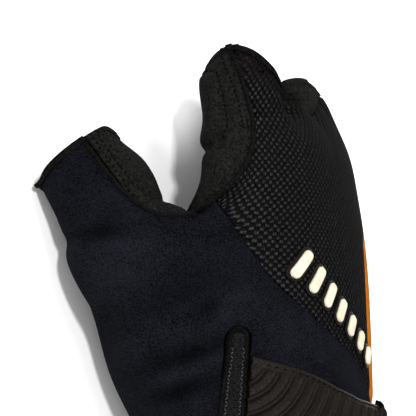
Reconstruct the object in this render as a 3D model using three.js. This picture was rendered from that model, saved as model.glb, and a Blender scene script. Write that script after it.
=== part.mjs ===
// Right-hand short-finger cycling glove, filled as by a hand and lying on a table.
// Millimetres. Sections are set out in the hand's own directions: x from the thumb side to the
// little-finger side, y from the cuff to the fingers, z from the palm to the back of the hand.
// The whole is then rolled onto the table, where +Z is up and +Y still points to the fingers.
import * as THREE from "three";

// Driving dimensions
const palmLength = 110;
const palmWidth = 86;
const palmDepth = 33;
const cuffWidth = 76;
const cuffDepth = 62;
const fingerWidth = 23.5;
const fingerDepth = 28;
const fingerLength = 12.5;
const thumbWidth = 30;
const thumbDepth = 28;
const thumbLength = 50;
const thumbBall = 22;
const wall = 1.6;
const hemWidth = 2.4;
const hemRise = 0.5;
const seamWidth = 1.5;
const seamRise = 0.7;
const pieceGap = 0.3;
const restRoll = 18.5;
const restPitch = 1.5;
const restSink = 2.4;

// Body sections from the cuff to the finger roots. along: share of palmLength. x, z: centre of the
// section as shares of palmWidth and palmDepth. palm: 0 for the cuff's size, 1 for the palm's.
// swell: girth beside that size. ball: how far the ball of the thumb stands out, as a share of
// thumbBall. twist: degrees that the little-finger side turns down.
const bodySections = [
  { along: 0.0, x: -0.02, z: 0.0, palm: 0.0, swell: 0.9, ball: 0.0, twist: 0 },
  { along: 0.075, x: -0.01, z: 0.02, palm: 0.02, swell: 0.95, ball: 0.25, twist: 0 },
  { along: 0.19, x: 0.0, z: 0.04, palm: 0.12, swell: 1.0, ball: 0.55, twist: 0 },
  { along: 0.315, x: 0.01, z: 0.04, palm: 0.35, swell: 1.02, ball: 0.98, twist: 0 },
  { along: 0.49, x: 0.02, z: 0.05, palm: 0.62, swell: 1.03, ball: 1.07, twist: 0 },
  { along: 0.72, x: 0.04, z: 0.08, palm: 0.9, swell: 1.02, ball: 0.2, twist: 3 },
  { along: 0.86, x: 0.05, z: 0.06, palm: 1.0, swell: 0.98, ball: 0.0, twist: 8 },
  { along: 1.0, x: 0.05, z: -0.02, palm: 1.0, swell: 0.9, ball: 0.0, twist: 11 },
];
// Stations round a section from the thumb side over the back, as shares of its half width.
// A finger root spans three of them.
const acrossShares = [-0.94, -0.7, -0.38, -0.13, 0.12, 0.36, 0.58, 0.78, 0.95];
const stations = 20;
const thumbSide = 0;
const littleSide = 10;
const backStation = (n) => 1 + n;
const palmStation = (n) => 19 - n;

// Fingers from the index finger. flex, splay: degrees down and out. length, width, depth: shares of
// fingerLength, fingerWidth and fingerDepth. lean: how far the hem stands higher on the thumb side,
// as a share of fingerWidth. shift: how far the tube sits towards the thumb side, likewise.
const fingers = [
  { name: "index", flex: -8, splay: -2, length: 0.96, width: 1.0, depth: 1.0, lean: 0.85, shift: 0.06 },
  { name: "middle", flex: -8, splay: 1, length: 0.56, width: 0.77, depth: 0.86, lean: 0, shift: -0.02 },
  { name: "ring", flex: 18, splay: 4, length: 0.8, width: 0.74, depth: 0.8, lean: 0, shift: 0 },
  { name: "little", flex: 38, splay: 9, length: 0.85, width: 0.68, depth: 0.74, lean: 0, shift: 0 },
];
const fingerRings = [0.45, 1 - hemWidth / fingerLength, 1];

// The thumb tube leaves the body between two section rows, and points forward, out and down
const thumbRows = [3, 5];
const thumbAim = { x: -0.3, y: 0.8, z: -0.47 };
// along: share of thumbLength from its root. girth: beside the thumb's own size.
const thumbSections = [
  { along: 0.34, girth: 1.2 },
  { along: 0.66, girth: 1.02 },
  { along: 1 - hemWidth / thumbLength, girth: 1.0 },
  { along: 1, girth: 1.02 },
];

function radians(degrees) {
  return THREE.MathUtils.degToRad(degrees);
}

function blend(a, b, t) {
  return a + (b - a) * t;
}

// The cage that the smooth skin is drawn from. Each row of it holds a point and what the point
// carries: back runs evenly from 1 on the back of the hand to -1 on the palm, girth is the station,
// hem, finger and thumb are distances from the nearest hem, finger root and thumb root.
const columns = ["x", "y", "z", "back", "girth", "hem", "finger", "thumb"];
const farFromHem = 60;
const cageRows = [];
const cageFaces = [];

function addRow(point, carried) {
  const plain = { girth: 0, hem: farFromHem, finger: 0, thumb: 0 };
  const row = { x: point.x, y: point.y, z: point.z, ...plain, ...carried };
  cageRows.push(columns.map((name) => row[name]));
  return cageRows.length - 1;
}

function pointOf(id) {
  return new THREE.Vector3(cageRows[id][0], cageRows[id][1], cageRows[id][2]);
}

function centreOf(loop) {
  const sum = new THREE.Vector3();
  for (const id of loop) {
    sum.add(pointOf(id));
  }
  return sum.divideScalar(loop.length);
}

// turn: radians round a section from the middle of the back
function backOfTurn(turn) {
  return 1 - (2 * Math.abs(turn)) / Math.PI;
}

function backOfStation(j) {
  const away = Math.abs(j - littleSide / 2);
  return backOfTurn((2 * Math.PI * Math.min(away, stations - away)) / stations);
}

// One closed ring of the body: a rounded box section with the ball of the thumb pushed out of it
function bodyRing(section) {
  const half = (blend(cuffWidth, palmWidth, section.palm) * section.swell) / 2;
  const rise = (blend(cuffDepth, palmDepth, section.palm) * section.swell) / 2;
  const power = blend(2.0, 2.5, section.palm);
  const shares = [-1, ...acrossShares, 1, ...[...acrossShares].reverse()];
  const ids = [];
  for (let j = 0; j < stations; j += 1) {
    const up = rise * Math.max(0, 1 - Math.abs(shares[j]) ** power) ** (1 / power);
    const x = shares[j] * half;
    const fromBall = Math.min(Math.abs(j - 18), stations - Math.abs(j - 18));
    const push = section.ball * thumbBall * Math.exp(-((fromBall / 2.6) ** 2));
    const point = new THREE.Vector3(
      section.x * palmWidth + x - 0.62 * push,
      section.along * palmLength,
      section.z * palmDepth + (j < littleSide ? up : -up) - 0.78 * push - x * Math.tan(radians(section.twist)),
    );
    ids.push(addRow(point, { back: backOfStation(j), girth: j }));
  }
  return ids;
}

const rings = bodySections.map(bodyRing);
for (let i = 0; i < rings.length - 1; i += 1) {
  for (let j = 0; j < stations; j += 1) {
    const k = (j + 1) % stations;
    const inThumbHole = i >= thumbRows[0] && i < thumbRows[1] && (j >= 17 || j === 0);
    if (!inThumbHole) {
      cageFaces.push({ corners: [rings[i][j], rings[i][k], rings[i + 1][k], rings[i + 1][j]], limb: "body" });
    }
  }
}

// A tube of four-sided faces that leaves a loop of points
function addTube(loop, ringsOut, limb) {
  let last = loop;
  for (const next of ringsOut) {
    for (let k = 0; k < loop.length; k += 1) {
      const m = (k + 1) % loop.length;
      cageFaces.push({ corners: [last[k], last[m], next[m], next[k]], limb });
    }
    last = next;
  }
}

// Points of a smooth ring lie inside those of its cage by this much
const pull = (count) => 3 / (2 + Math.cos((2 * Math.PI) / count));

// Fingers leave the last ring, with one point between neighbours at the bottom of each web
const lastRing = rings[rings.length - 1];
const webs = [1, 2, 3].map((n) => {
  const pair = [lastRing[backStation(2 * n)], lastRing[palmStation(2 * n)]];
  return addRow(centreOf(pair), { back: 0, girth: 5 });
});

const hemFrames = {};

function addFinger(finger, k) {
  const left = k === 0 ? lastRing[thumbSide] : webs[k - 1];
  const right = k === 3 ? lastRing[littleSide] : webs[k];
  const overBack = [2 * k, 2 * k + 1, 2 * k + 2].map((n) => lastRing[backStation(n)]);
  const underPalm = [2 * k + 2, 2 * k + 1, 2 * k].map((n) => lastRing[palmStation(n)]);
  const loop = [...overBack, right, ...underPalm, left];
  const root = centreOf(loop);
  const halfWidth = (fingerWidth * finger.width * pull(8)) / 2;
  const halfDepth = (fingerDepth * finger.depth * pull(8)) / 2;
  const length = fingerLength * finger.length;
  const splay = radians(finger.splay);
  const ringsOut = fingerRings.map((share) => {
    const flex = radians(finger.flex * (0.5 + 0.5 * share));
    const aim = new THREE.Vector3(Math.sin(splay), Math.cos(splay) * Math.cos(flex), -Math.sin(flex)).normalize();
    const side = aim.clone().cross(new THREE.Vector3(0, 0, 1)).normalize();
    const top = side.clone().cross(aim).normalize();
    const centre = root.clone().addScaledVector(aim, length * share);
    centre.addScaledVector(side, -finger.shift * fingerWidth);
    hemFrames[finger.name] = { centre, aim, side, top, halfWidth, halfDepth };
    return loop.map((id, n) => {
      const angle = (Math.PI * (3 - n)) / 4;
      const point = centre.clone();
      point.addScaledVector(side, Math.cos(angle) * halfWidth);
      point.addScaledVector(top, Math.sin(angle) * halfDepth);
      point.addScaledVector(aim, -0.5 * share * finger.lean * fingerWidth * Math.cos(angle));
      return addRow(point, {
        back: backOfTurn(angle < -Math.PI / 2 ? angle + 1.5 * Math.PI : angle - Math.PI / 2),
        girth: 5,
        hem: (1 - share) * length,
        finger: share * length,
      });
    });
  });
  addTube(loop, ringsOut, finger.name);
}
fingers.forEach(addFinger);

function addThumb() {
  const [low, high] = thumbRows;
  const middle = low + 1;
  const bottom = [17, 18, 19, 0, 1].map((j) => rings[low][j]);
  const top = [1, 0, 19, 18, 17].map((j) => rings[high][j]);
  const loop = [...bottom, rings[middle][1], ...top, rings[middle][17]];
  const aim = new THREE.Vector3(thumbAim.x, thumbAim.y, thumbAim.z).normalize();
  const root = centreOf(loop);
  // Across the tube, fore faces the index finger and side the back of the hand
  const outward = new THREE.Vector3(-0.55, 0, 0.83);
  const side = outward.addScaledVector(aim, -outward.dot(aim)).normalize();
  const fore = side.clone().cross(aim).normalize();
  fore.multiplyScalar(Math.sign(fore.y));
  const ringsOut = thumbSections.map((section) => {
    const centre = root.clone().addScaledVector(aim, thumbLength * section.along);
    return loop.map((id, n) => {
      const angle = ((n - 5) * Math.PI) / 6;
      const point = centre.clone();
      point.addScaledVector(side, Math.cos(angle) * (thumbDepth / 2) * pull(12) * section.girth);
      point.addScaledVector(fore, Math.sin(angle) * (thumbWidth / 2) * pull(12) * section.girth);
      return addRow(point, {
        back: backOfTurn(angle),
        hem: (1 - section.along) * thumbLength,
        thumb: section.along * thumbLength,
      });
    });
  });
  addTube(loop, ringsOut, "thumb");
}
addThumb();

// Catmull-Clark subdivision of the cage, and of all that its points carry
function refine(mesh) {
  const { rows, faces } = mesh;
  const width = rows[0].length;
  const mean = (list) => {
    const sum = new Array(width).fill(0);
    for (const row of list) row.forEach((v, c) => { sum[c] += v / list.length; });
    return sum;
  };
  const edges = new Map();
  const edgeKey = (a, b) => (a < b ? `${a}_${b}` : `${b}_${a}`);
  const facePoints = faces.map((f) => mean(f.corners.map((id) => rows[id])));
  faces.forEach((f, n) => {
    f.corners.forEach((a, c) => {
      const b = f.corners[(c + 1) % 4];
      const key = edgeKey(a, b);
      if (!edges.has(key)) edges.set(key, { a, b, faces: [] });
      edges.get(key).faces.push(n);
    });
  });
  const next = [];
  const around = rows.map(() => ({ edges: [], faces: new Set() }));
  for (const edge of edges.values()) {
    around[edge.a].edges.push(edge);
    around[edge.b].edges.push(edge);
    for (const n of edge.faces) {
      around[edge.a].faces.add(n);
      around[edge.b].faces.add(n);
    }
  }
  rows.forEach((row, id) => {
    const near = around[id];
    const rim = near.edges.filter((e) => e.faces.length === 1);
    if (rim.length) {
      const ends = mean(rim.map((e) => rows[e.a === id ? e.b : e.a]));
      next.push(row.map((v, c) => 0.75 * v + 0.25 * ends[c]));
      return;
    }
    const n = near.edges.length;
    const faceMean = mean([...near.faces].map((f) => facePoints[f]));
    const edgeMean = mean(near.edges.map((e) => mean([rows[e.a], rows[e.b]])));
    next.push(row.map((v, c) => (faceMean[c] + 2 * edgeMean[c] + (n - 3) * v) / n));
  });
  for (const edge of edges.values()) {
    const ends = mean([rows[edge.a], rows[edge.b]]);
    edge.id = next.length;
    if (edge.faces.length === 1) next.push(ends);
    else next.push(mean([rows[edge.a], rows[edge.b], facePoints[edge.faces[0]], facePoints[edge.faces[1]]]));
  }
  const outFaces = [];
  faces.forEach((f, n) => {
    const centre = next.length;
    next.push(facePoints[n]);
    f.corners.forEach((a, c) => {
      const before = edges.get(edgeKey(f.corners[(c + 3) % 4], a)).id;
      const after = edges.get(edgeKey(a, f.corners[(c + 1) % 4])).id;
      outFaces.push({ corners: [a, after, centre, before], limb: f.limb });
    });
  });
  return { rows: next, faces: outFaces };
}

// Moves each point to the smooth surface that endless subdivision would reach
function toLimit(mesh) {
  const { rows, faces } = mesh;
  const near = rows.map(() => ({ edge: new Map(), corner: [] }));
  for (const f of faces) {
    f.corners.forEach((a, c) => {
      const b = f.corners[(c + 1) % 4];
      const d = f.corners[(c + 3) % 4];
      near[a].corner.push(f.corners[(c + 2) % 4]);
      near[a].edge.set(b, (near[a].edge.get(b) ?? 0) + 1);
      near[a].edge.set(d, (near[a].edge.get(d) ?? 0) + 1);
    });
  }
  const moved = rows.map((row, id) => {
    const rim = [...near[id].edge].filter(([, count]) => count === 1).map(([other]) => other);
    if (rim.length) return row.map((v, c) => (2 / 3) * v + (rows[rim[0]][c] + rows[rim[1]][c]) / 6);
    const others = [...near[id].edge.keys()];
    const n = others.length;
    return row.map((v, c) => {
      const edgeSum = others.reduce((sum, o) => sum + rows[o][c], 0);
      const cornerSum = near[id].corner.reduce((sum, o) => sum + rows[o][c], 0);
      return (n * n * v + 4 * edgeSum + cornerSum) / (n * (n + 5));
    });
  });
  return { rows: moved, faces };
}

// Points inside the thumb's hole belong to no face and are dropped
function dropUnused(rows, faces) {
  const kept = new Map();
  const used = [];
  for (const face of faces) {
    for (const id of face.corners) {
      if (!kept.has(id)) {
        kept.set(id, used.length);
        used.push(rows[id]);
      }
    }
  }
  const moved = faces.map((face) => ({ ...face, corners: face.corners.map((id) => kept.get(id)) }));
  return { rows: used, faces: moved };
}

const smooth = toLimit(refine(dropUnused(cageRows, cageFaces)));

// Rolls and pitches the glove onto its thumb, heel and little finger, flat where cloth would sink in
function toTable(point) {
  const turned = point.clone().applyAxisAngle(new THREE.Vector3(0, 1, 0), radians(restRoll));
  return turned.applyAxisAngle(new THREE.Vector3(1, 0, 0), radians(restPitch));
}

// Distances across the hand as they look from the thumb side, along this line of sight
const sight = radians(60);
const acrossSight = (carried) => carried.x * Math.cos(sight) + carried.z * Math.sin(sight);

// Folds and dents of the filled cloth, as they look from the thumb side. across, along: the middle of
// a fold as shares of palmWidth and palmLength. turn: its direction, degrees from across. long, wide:
// its size as shares of palmLength. rise: how far it stands out, or in, as a share of foldRise.
const foldRise = 1.3;
const folds = [
  { across: -0.36, along: 0.42, turn: 28, long: 0.31, wide: 0.055, rise: 1 },
  { across: -0.3, along: 0.5, turn: 24, long: 0.27, wide: 0.045, rise: -0.9 },
  { across: -0.58, along: 0.64, turn: 70, long: 0.18, wide: 0.055, rise: -0.85 },
  { across: -0.15, along: 0.93, turn: 28, long: 0.15, wide: 0.036, rise: -1.1 },
  { across: -0.2, along: 1.0, turn: 60, long: 0.13, wide: 0.055, rise: 0.6 },
  { across: 0.05, along: 0.42, turn: -24, long: 0.24, wide: 0.055, rise: 0.7 },
];

function foldHeight(carried) {
  let height = 0;
  for (const fold of folds) {
    const x = acrossSight(carried) - fold.across * palmWidth;
    const y = carried.y - fold.along * palmLength;
    const turn = radians(fold.turn);
    const along = x * Math.cos(turn) + y * Math.sin(turn);
    const over = y * Math.cos(turn) - x * Math.sin(turn);
    const ends = Math.exp(-((along / (0.5 * fold.long * palmLength)) ** 2));
    height += foldRise * fold.rise * ends * Math.exp(-((over / (fold.wide * palmLength)) ** 2));
  }
  return carried.back > -0.2 ? height : 0;
}

const heights = smooth.rows.map(([x, y, z]) => toTable(new THREE.Vector3(x, y, z)).z);
const table = Math.min(...heights) + restSink;

function skinFrom(mesh) {
  const laid = mesh.rows.map((row) => toTable(new THREE.Vector3(row[0], row[1], row[2])));
  const softness = 1;
  const vertices = mesh.rows.map((row, id) => {
    const height = laid[id].z - table;
    const eased = Math.abs(height) < softness ? (height + softness) ** 2 / (4 * softness) : Math.max(0, height);
    const point = new THREE.Vector3(laid[id].x, laid[id].y, eased);
    const carried = {};
    columns.forEach((name, c) => {
      carried[name] = row[c];
    });
    return { point, normal: new THREE.Vector3(), carried };
  });
  for (const face of mesh.faces) {
    const [a, b, c, d] = face.corners.map((id) => vertices[id].point);
    const across = c.clone().sub(a).cross(d.clone().sub(b));
    for (const id of face.corners) {
      vertices[id].normal.add(across);
    }
  }
  for (const vertex of vertices) {
    vertex.normal.normalize();
    vertex.point.addScaledVector(vertex.normal, foldHeight(vertex.carried));
  }
  return vertices;
}

const vertices = skinFrom(smooth);
const triangles = smooth.faces.flatMap(({ corners: [a, b, c, d] }) => [[a, b, c], [a, c, d]]);

// Seams are drawn the same way, as shares of palmWidth and palmLength.
// Up the thumb from its hem, round the crotch and up the side of the index finger
const crotchSeam = [
  { across: -0.72, along: 0.99 },
  { across: -0.6, along: 0.868 },
  { across: -0.503, along: 0.778 },
  { across: -0.41, along: 0.733 },
  { across: -0.284, along: 0.73 },
  { across: -0.185, along: 0.772 },
  { across: -0.09, along: 0.85 },
  { across: -0.043, along: 0.955 },
  { across: -0.052, along: 1.05 },
  { across: -0.13, along: 1.22 },
];
// Down the back of the hand from the crotch seam to the little-finger side
const backSeam = [
  { across: -0.36, along: 0.9 },
  { across: -0.198, along: 0.766 },
  { across: 0.003, along: 0.564 },
  { across: 0.142, along: 0.47 },
  { across: 0.258, along: 0.393 },
  { across: 0.333, along: 0.33 },
  { across: 0.4, along: 0.18 },
];
// Where the side panel starts, as a station round the section, at shares of palmLength
const sideSeam = [
  { along: 0.0, station: 6.4 },
  { along: 0.33, station: 6.4 },
  { along: 0.55, station: 6.8 },
  { along: 0.68, station: 7.1 },
  { along: 0.78, station: 8.2 },
  { along: 0.94, station: 11 },
  { along: 1.1, station: 12 },
];

// Distance to a seam, positive to the left of its direction
function seamField(seam) {
  const places = seam.map((row) => new THREE.Vector2(row.across * palmWidth, row.along * palmLength));
  const points = new THREE.SplineCurve(places).getPoints(seam.length * 5);
  return (carried) => {
    const here = new THREE.Vector2(acrossSight(carried), carried.y);
    let nearest = Infinity;
    let signed = 0;
    for (let n = 0; n + 1 < points.length; n += 1) {
      const step = points[n + 1].clone().sub(points[n]);
      const reach = here.clone().sub(points[n]);
      const t = THREE.MathUtils.clamp(reach.dot(step) / step.lengthSq(), 0, 1);
      const away = reach.clone().addScaledVector(step, -t);
      if (away.length() < nearest) {
        nearest = away.length();
        signed = Math.sign(step.cross(reach)) * nearest;
      }
    }
    return signed;
  };
}

function tableValue(rows, key, name, at) {
  const n = Math.max(1, rows.findIndex((row) => row[key] >= at));
  const [low, high] = [rows[n - 1], rows[n]];
  return blend(low[name], high[name], THREE.MathUtils.clamp((at - low[key]) / (high[key] - low[key]), 0, 1));
}

const overCrotch = seamField(crotchSeam);
const overBackSeam = seamField(backSeam);
// The palm's suede ends at this value of back, and lower down beside the ball of the thumb
const stationSize = (palmWidth + palmDepth) / 11;
const palmEdge = 0.2;
const palmEdgeAtBall = 0.55;
const palmSide = (c) => {
  const below = THREE.MathUtils.smoothstep(-c.y / palmLength, -0.78, -0.55);
  const beside = THREE.MathUtils.smoothstep(-c.x / palmWidth, 0, 0.2);
  return (-c.back - blend(palmEdge, palmEdgeAtBall, below * beside)) * (stations / 4) * stationSize;
};
const sidePanel = (c) => Math.min(
  (c.girth - tableValue(sideSeam, "along", "station", c.y / palmLength)) * stationSize,
  c.x - 0.1 * palmWidth,
);

// The wrist slit, from the cuff up the thumb side of the back
const slitWidth = 8;
const slitTop = 47;
const slitAcross = -12;
const slitLean = 0.07;
const slitCentre = (y) => slitAcross + slitLean * y;
const fromSlit = (c) => acrossSight(c) - slitCentre(c.y);
const slitReach = slitWidth / 2 + pieceGap;
const slitRound = slitTop - slitWidth / 2;
const slitSides = [
  (c) => slitReach + fromSlit(c),
  (c) => slitReach - fromSlit(c),
  (c) => slitReach + slitRound - c.y,
  (c) => slitReach * Math.SQRT2 - (c.y - slitRound) - fromSlit(c),
  (c) => slitReach * Math.SQRT2 - (c.y - slitRound) + fromSlit(c),
];

// Cloth crowds together where it bends inwards, so joints across the fingers get a wider gap
const half = pieceGap / 2;
const bendHalf = pieceGap;
const seamHalf = seamWidth / 2;
const rollReach = seamHalf + pieceGap;

const cuffHemWidth = 3.2;
const fieldOf = {
  overCrotch,
  overBackSeam,
  palmSide,
  sidePanel,
  cuff: (c) => c.y - cuffHemWidth,
  hem: (c) => c.hem - hemWidth,
  finger: (c) => c.finger - 3,
  thumb: (c) => c.thumb - 12,
  slit0: slitSides[0],
  slit1: slitSides[1],
  slit2: slitSides[2],
  slit3: slitSides[3],
  slit4: slitSides[4],
};

// Limbs of triangles, so that a panel can ask for one finger alone
const limbOf = smooth.faces.flatMap((face) => [face.limb, face.limb]);

function valueOf(id, name) {
  const vertex = vertices[id];
  vertex.values = vertex.values ?? {};
  vertex.values[name] = vertex.values[name] ?? fieldOf[name](vertex.carried);
  return vertex.values[name];
}

// A point between two others, with all that they carry
const between = new Map();
const cutsOn = new Map();
const edgeName = (a, b) => (a < b ? `${a} ${b}` : `${b} ${a}`);

function cutPoint(a, b, name, level) {
  const [low, high] = a < b ? [a, b] : [b, a];
  const key = `${low} ${high} ${name} ${level}`;
  if (!between.has(key)) {
    const t = (level - valueOf(low, name)) / (valueOf(high, name) - valueOf(low, name));
    const [p, q] = [vertices[low], vertices[high]];
    const carried = {};
    for (const column of columns) {
      carried[column] = blend(p.carried[column], q.carried[column], t);
    }
    const values = {};
    for (const field of Object.keys(fieldOf)) {
      values[field] = blend(valueOf(low, field), valueOf(high, field), t);
    }
    values[name] = level;
    between.set(key, vertices.length);
    cutsOn.set(edgeName(a, b), [...(cutsOn.get(edgeName(a, b)) ?? []), vertices.length]);
    vertices.push({
      point: p.point.clone().lerp(q.point, t),
      normal: p.normal.clone().lerp(q.normal, t).normalize(),
      carried,
      values,
    });
  }
  return between.get(key);
}

// Splits polygons where a field crosses a level, and says on which side each part lies
const snap = 0.05;
function split(polygons, name, level) {
  const out = [];
  for (const polygon of polygons) {
    const heights = polygon.ids.map((id) => {
      const height = valueOf(id, name) - level;
      return Math.abs(height) < snap ? 0 : height;
    });
    for (const side of [1, -1]) {
      const ids = [];
      polygon.ids.forEach((id, n) => {
        const next = (n + 1) % polygon.ids.length;
        if (heights[n] * side >= 0) {
          ids.push(id);
        }
        if (heights[n] * heights[next] < 0) {
          ids.push(cutPoint(id, polygon.ids[next], name, level));
        }
      });
      const inside = heights.some((height) => height * side > 0);
      if (inside && ids.length > 2) {
        out.push({ ids, limb: polygon.limb, side });
      }
    }
  }
  return out;
}

const above = (name, level = 0) => (polygons) => split(polygons, name, level).filter((p) => p.side > 0);
const below = (name, level = 0) => (polygons) => split(polygons, name, level).filter((p) => p.side < 0);
const onLimb = (limb) => (polygons) => polygons.filter((p) => p.limb === limb);

// Suede covers the palm, and all beyond the crotch seam
function suedeSide(polygons) {
  const parts = split(polygons, "palmSide", half);
  const rest = split(parts.filter((p) => p.side < 0), "overCrotch", rollReach + 0.1);
  return [...parts, ...rest].filter((p) => p.side > 0);
}

// Leaves out the slit: each part outside one of its sides is kept
function outsideSlit(polygons) {
  let inner = polygons;
  const outer = [];
  for (let n = 0; n < slitSides.length; n += 1) {
    const parts = split(inner, `slit${n}`, 0);
    outer.push(...parts.filter((p) => p.side < 0));
    inner = parts.filter((p) => p.side > 0);
  }
  const far = inner.filter((p) => p.ids.some((id) => vertices[id].carried.back < 0));
  return [...outer, ...far];
}

const allSkin = triangles.map((ids, n) => ({ ids, limb: limbOf[n] }));

// Drops the smaller side wherever a region only touches itself at a point
function withoutPinches(polygons) {
  const starts = new Map();
  const edges = new Set();
  for (const { ids } of polygons) {
    ids.forEach((id, n) => edges.add(`${id} ${ids[(n + 1) % ids.length]}`));
  }
  for (const { ids } of polygons) {
    ids.forEach((id, n) => {
      const next = ids[(n + 1) % ids.length];
      if (!edges.has(`${next} ${id}`)) {
        starts.set(id, (starts.get(id) ?? 0) + 1);
      }
    });
  }
  const pinches = [...starts].filter(([, count]) => count > 1).map(([id]) => id);
  let kept = polygons;
  for (const pinch of pinches) {
    const touching = kept.filter((polygon) => polygon.ids.includes(pinch));
    const spare = fansAt(pinch, touching).slice(1).flat();
    kept = kept.filter((polygon) => !spare.includes(polygon));
  }
  return kept;
}

// Polygons at a point, in groups that share edges there, the largest group first
function fansAt(pinch, polygons) {
  const fans = [];
  for (const polygon of polygons) {
    const neighbours = (other) => other.ids.filter((id) => polygon.ids.includes(id)).length > 1;
    const joined = fans.filter((fan) => fan.some(neighbours));
    const merged = [polygon, ...joined.flat()];
    const apart = fans.filter((fan) => !joined.includes(fan));
    fans.splice(0, fans.length, ...apart, merged);
  }
  const areaOf = (fan) => fan.reduce((sum, { ids }) => {
    const [p, q, r] = ids.map((id) => vertices[id].point);
    return sum + q.clone().sub(p).cross(r.clone().sub(p)).length();
  }, 0);
  return fans.sort((a, b) => areaOf(b) - areaOf(a));
}

// The largest joined part of a region, without the slips that a seam leaves on the far side
function mainPart(polygons) {
  const parent = new Map();
  const rootOf = (id) => {
    let at = id;
    while (parent.has(at)) {
      at = parent.get(at);
    }
    return at;
  };
  for (const { ids } of polygons) {
    for (const id of ids.slice(1)) {
      const [a, b] = [rootOf(ids[0]), rootOf(id)];
      if (a !== b) {
        parent.set(a, b);
      }
    }
  }
  const groups = new Map();
  for (const polygon of polygons) {
    const key = rootOf(polygon.ids[0]);
    groups.set(key, [...(groups.get(key) ?? []), polygon]);
  }
  return [...groups.values()].sort((a, b) => b.length - a.length)[0];
}

// Points that other cuts have put on an edge, in order
function pointsAlong(a, b) {
  const away = (id) => vertices[id].point.distanceTo(vertices[a].point);
  const cuts = [...(cutsOn.get(edgeName(a, b)) ?? [])].sort((p, q) => away(p) - away(q));
  if (!cuts.length) {
    return [];
  }
  const chain = [a, ...cuts, b];
  return chain.slice(1).flatMap((id, n) => [...pointsAlong(chain[n], id), ...(id === b ? [] : [id])]);
}

// Gives each polygon the points that its neighbours have on a shared edge
function matched(polygons) {
  const used = new Set(polygons.flatMap((polygon) => polygon.ids));
  return polygons.map((polygon) => {
    const ids = polygon.ids.flatMap((id, n) => {
      const next = polygon.ids[(n + 1) % polygon.ids.length];
      return [id, ...pointsAlong(id, next).filter((cut) => used.has(cut))];
    });
    return { ...polygon, ids };
  });
}

function regionOf(steps) {
  return mainPart(withoutPinches(matched(steps.reduce((polygons, step) => step(polygons), allSkin))));
}

// Cuts a polygon into triangles from the corner that gives the fullest ones
function fanOf(ids) {
  let best = { least: -1, fan: [] };
  for (let start = 0; start < ids.length; start += 1) {
    const turned = [...ids.slice(start), ...ids.slice(0, start)];
    const fan = turned.slice(2).map((id, n) => [turned[0], turned[n + 1], id]);
    const least = Math.min(...fan.map((corners) => {
      const [p, q, r] = corners.map((id) => vertices[id].point);
      return q.clone().sub(p).cross(r.clone().sub(p)).length();
    }));
    best = least > best.least ? { least, fan } : best;
  }
  return best.fan;
}

// Collects a closed mesh from corner points
class Solid {
  constructor() {
    this.positions = [];
    this.index = [];
  }

  point(p) {
    this.positions.push(p.x, p.y, p.z);
    return this.positions.length / 3 - 1;
  }

  triangle(a, b, c) {
    this.index.push(a, b, c);
  }

  quad(a, b, c, d) {
    this.triangle(a, b, c);
    this.triangle(a, c, d);
  }

  geometry() {
    const geometry = new THREE.BufferGeometry();
    geometry.setAttribute("position", new THREE.Float32BufferAttribute(this.positions, 3));
    geometry.setIndex(this.index);
    return geometry;
  }
}

// A panel of cloth: a region of the skin, thickened between two heights along its normals
function panelGeometry(polygons, outer, inner) {
  const solid = new Solid();
  const pairs = new Map();
  const offset = (vertex, height) => {
    const point = vertex.point.clone().addScaledVector(vertex.normal, height);
    point.z = Math.max(0, point.z);
    return point;
  };
  const pairOf = (id) => {
    if (!pairs.has(id)) {
      pairs.set(id, [solid.point(offset(vertices[id], outer)), solid.point(offset(vertices[id], inner))]);
    }
    return pairs.get(id);
  };
  const edges = new Map();
  for (const { ids } of polygons) {
    for (const corners of fanOf(ids)) {
      const [a, b, c] = corners.map(pairOf);
      solid.triangle(a[0], b[0], c[0]);
      solid.triangle(a[1], c[1], b[1]);
      corners.forEach((id, m) => {
        const next = corners[(m + 1) % 3];
        edges.set(`${id} ${next}`, [id, next]);
      });
    }
  }
  for (const [p, q] of edges.values()) {
    if (!edges.has(`${q} ${p}`)) {
      const [a, b] = [pairOf(p), pairOf(q)];
      solid.quad(b[0], a[0], a[1], b[1]);
    }
  }
  return solid.geometry();
}

// Finds a place on the skin by two of the values that it carries
const chart = {
  sight: { a: acrossSight, b: (c) => c.y, allow: () => true },
  stations: { a: (c) => c.girth, b: (c) => c.y, allow: (c) => c.girth <= 11 && c.thumb < 3 },
};
const baseCount = vertices.length;
function placeOn(chartName, a, b) {
  const { a: first, b: second, allow } = chart[chartName];
  for (const ids of triangles) {
    const [p, q, r] = ids.map((id) => vertices[id]);
    if (ids.every((id) => id < baseCount && allow(vertices[id].carried))) {
      const [pa, qa, ra] = [p, q, r].map((v) => first(v.carried));
      const [pb, qb, rb] = [p, q, r].map((v) => second(v.carried));
      const area = (qa - pa) * (rb - pb) - (ra - pa) * (qb - pb);
      const wq = ((a - pa) * (rb - pb) - (ra - pa) * (b - pb)) / area;
      const wr = ((qa - pa) * (b - pb) - (a - pa) * (qb - pb)) / area;
      if (area > 1e-6 && wq >= -1e-9 && wr >= -1e-9 && wq + wr <= 1 + 1e-9) {
        const wp = 1 - wq - wr;
        const point = new THREE.Vector3();
        const normal = new THREE.Vector3();
        let station = 0;
        [[p, wp], [q, wq], [r, wr]].forEach(([v, weight]) => {
          point.addScaledVector(v.point, weight);
          normal.addScaledVector(v.normal, weight);
          station += v.carried.girth * weight;
        });
        return { point, normal: normal.normalize(), station };
      }
    }
  }
  throw new Error(`no skin at ${chartName} ${a} ${b}`);
}

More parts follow.
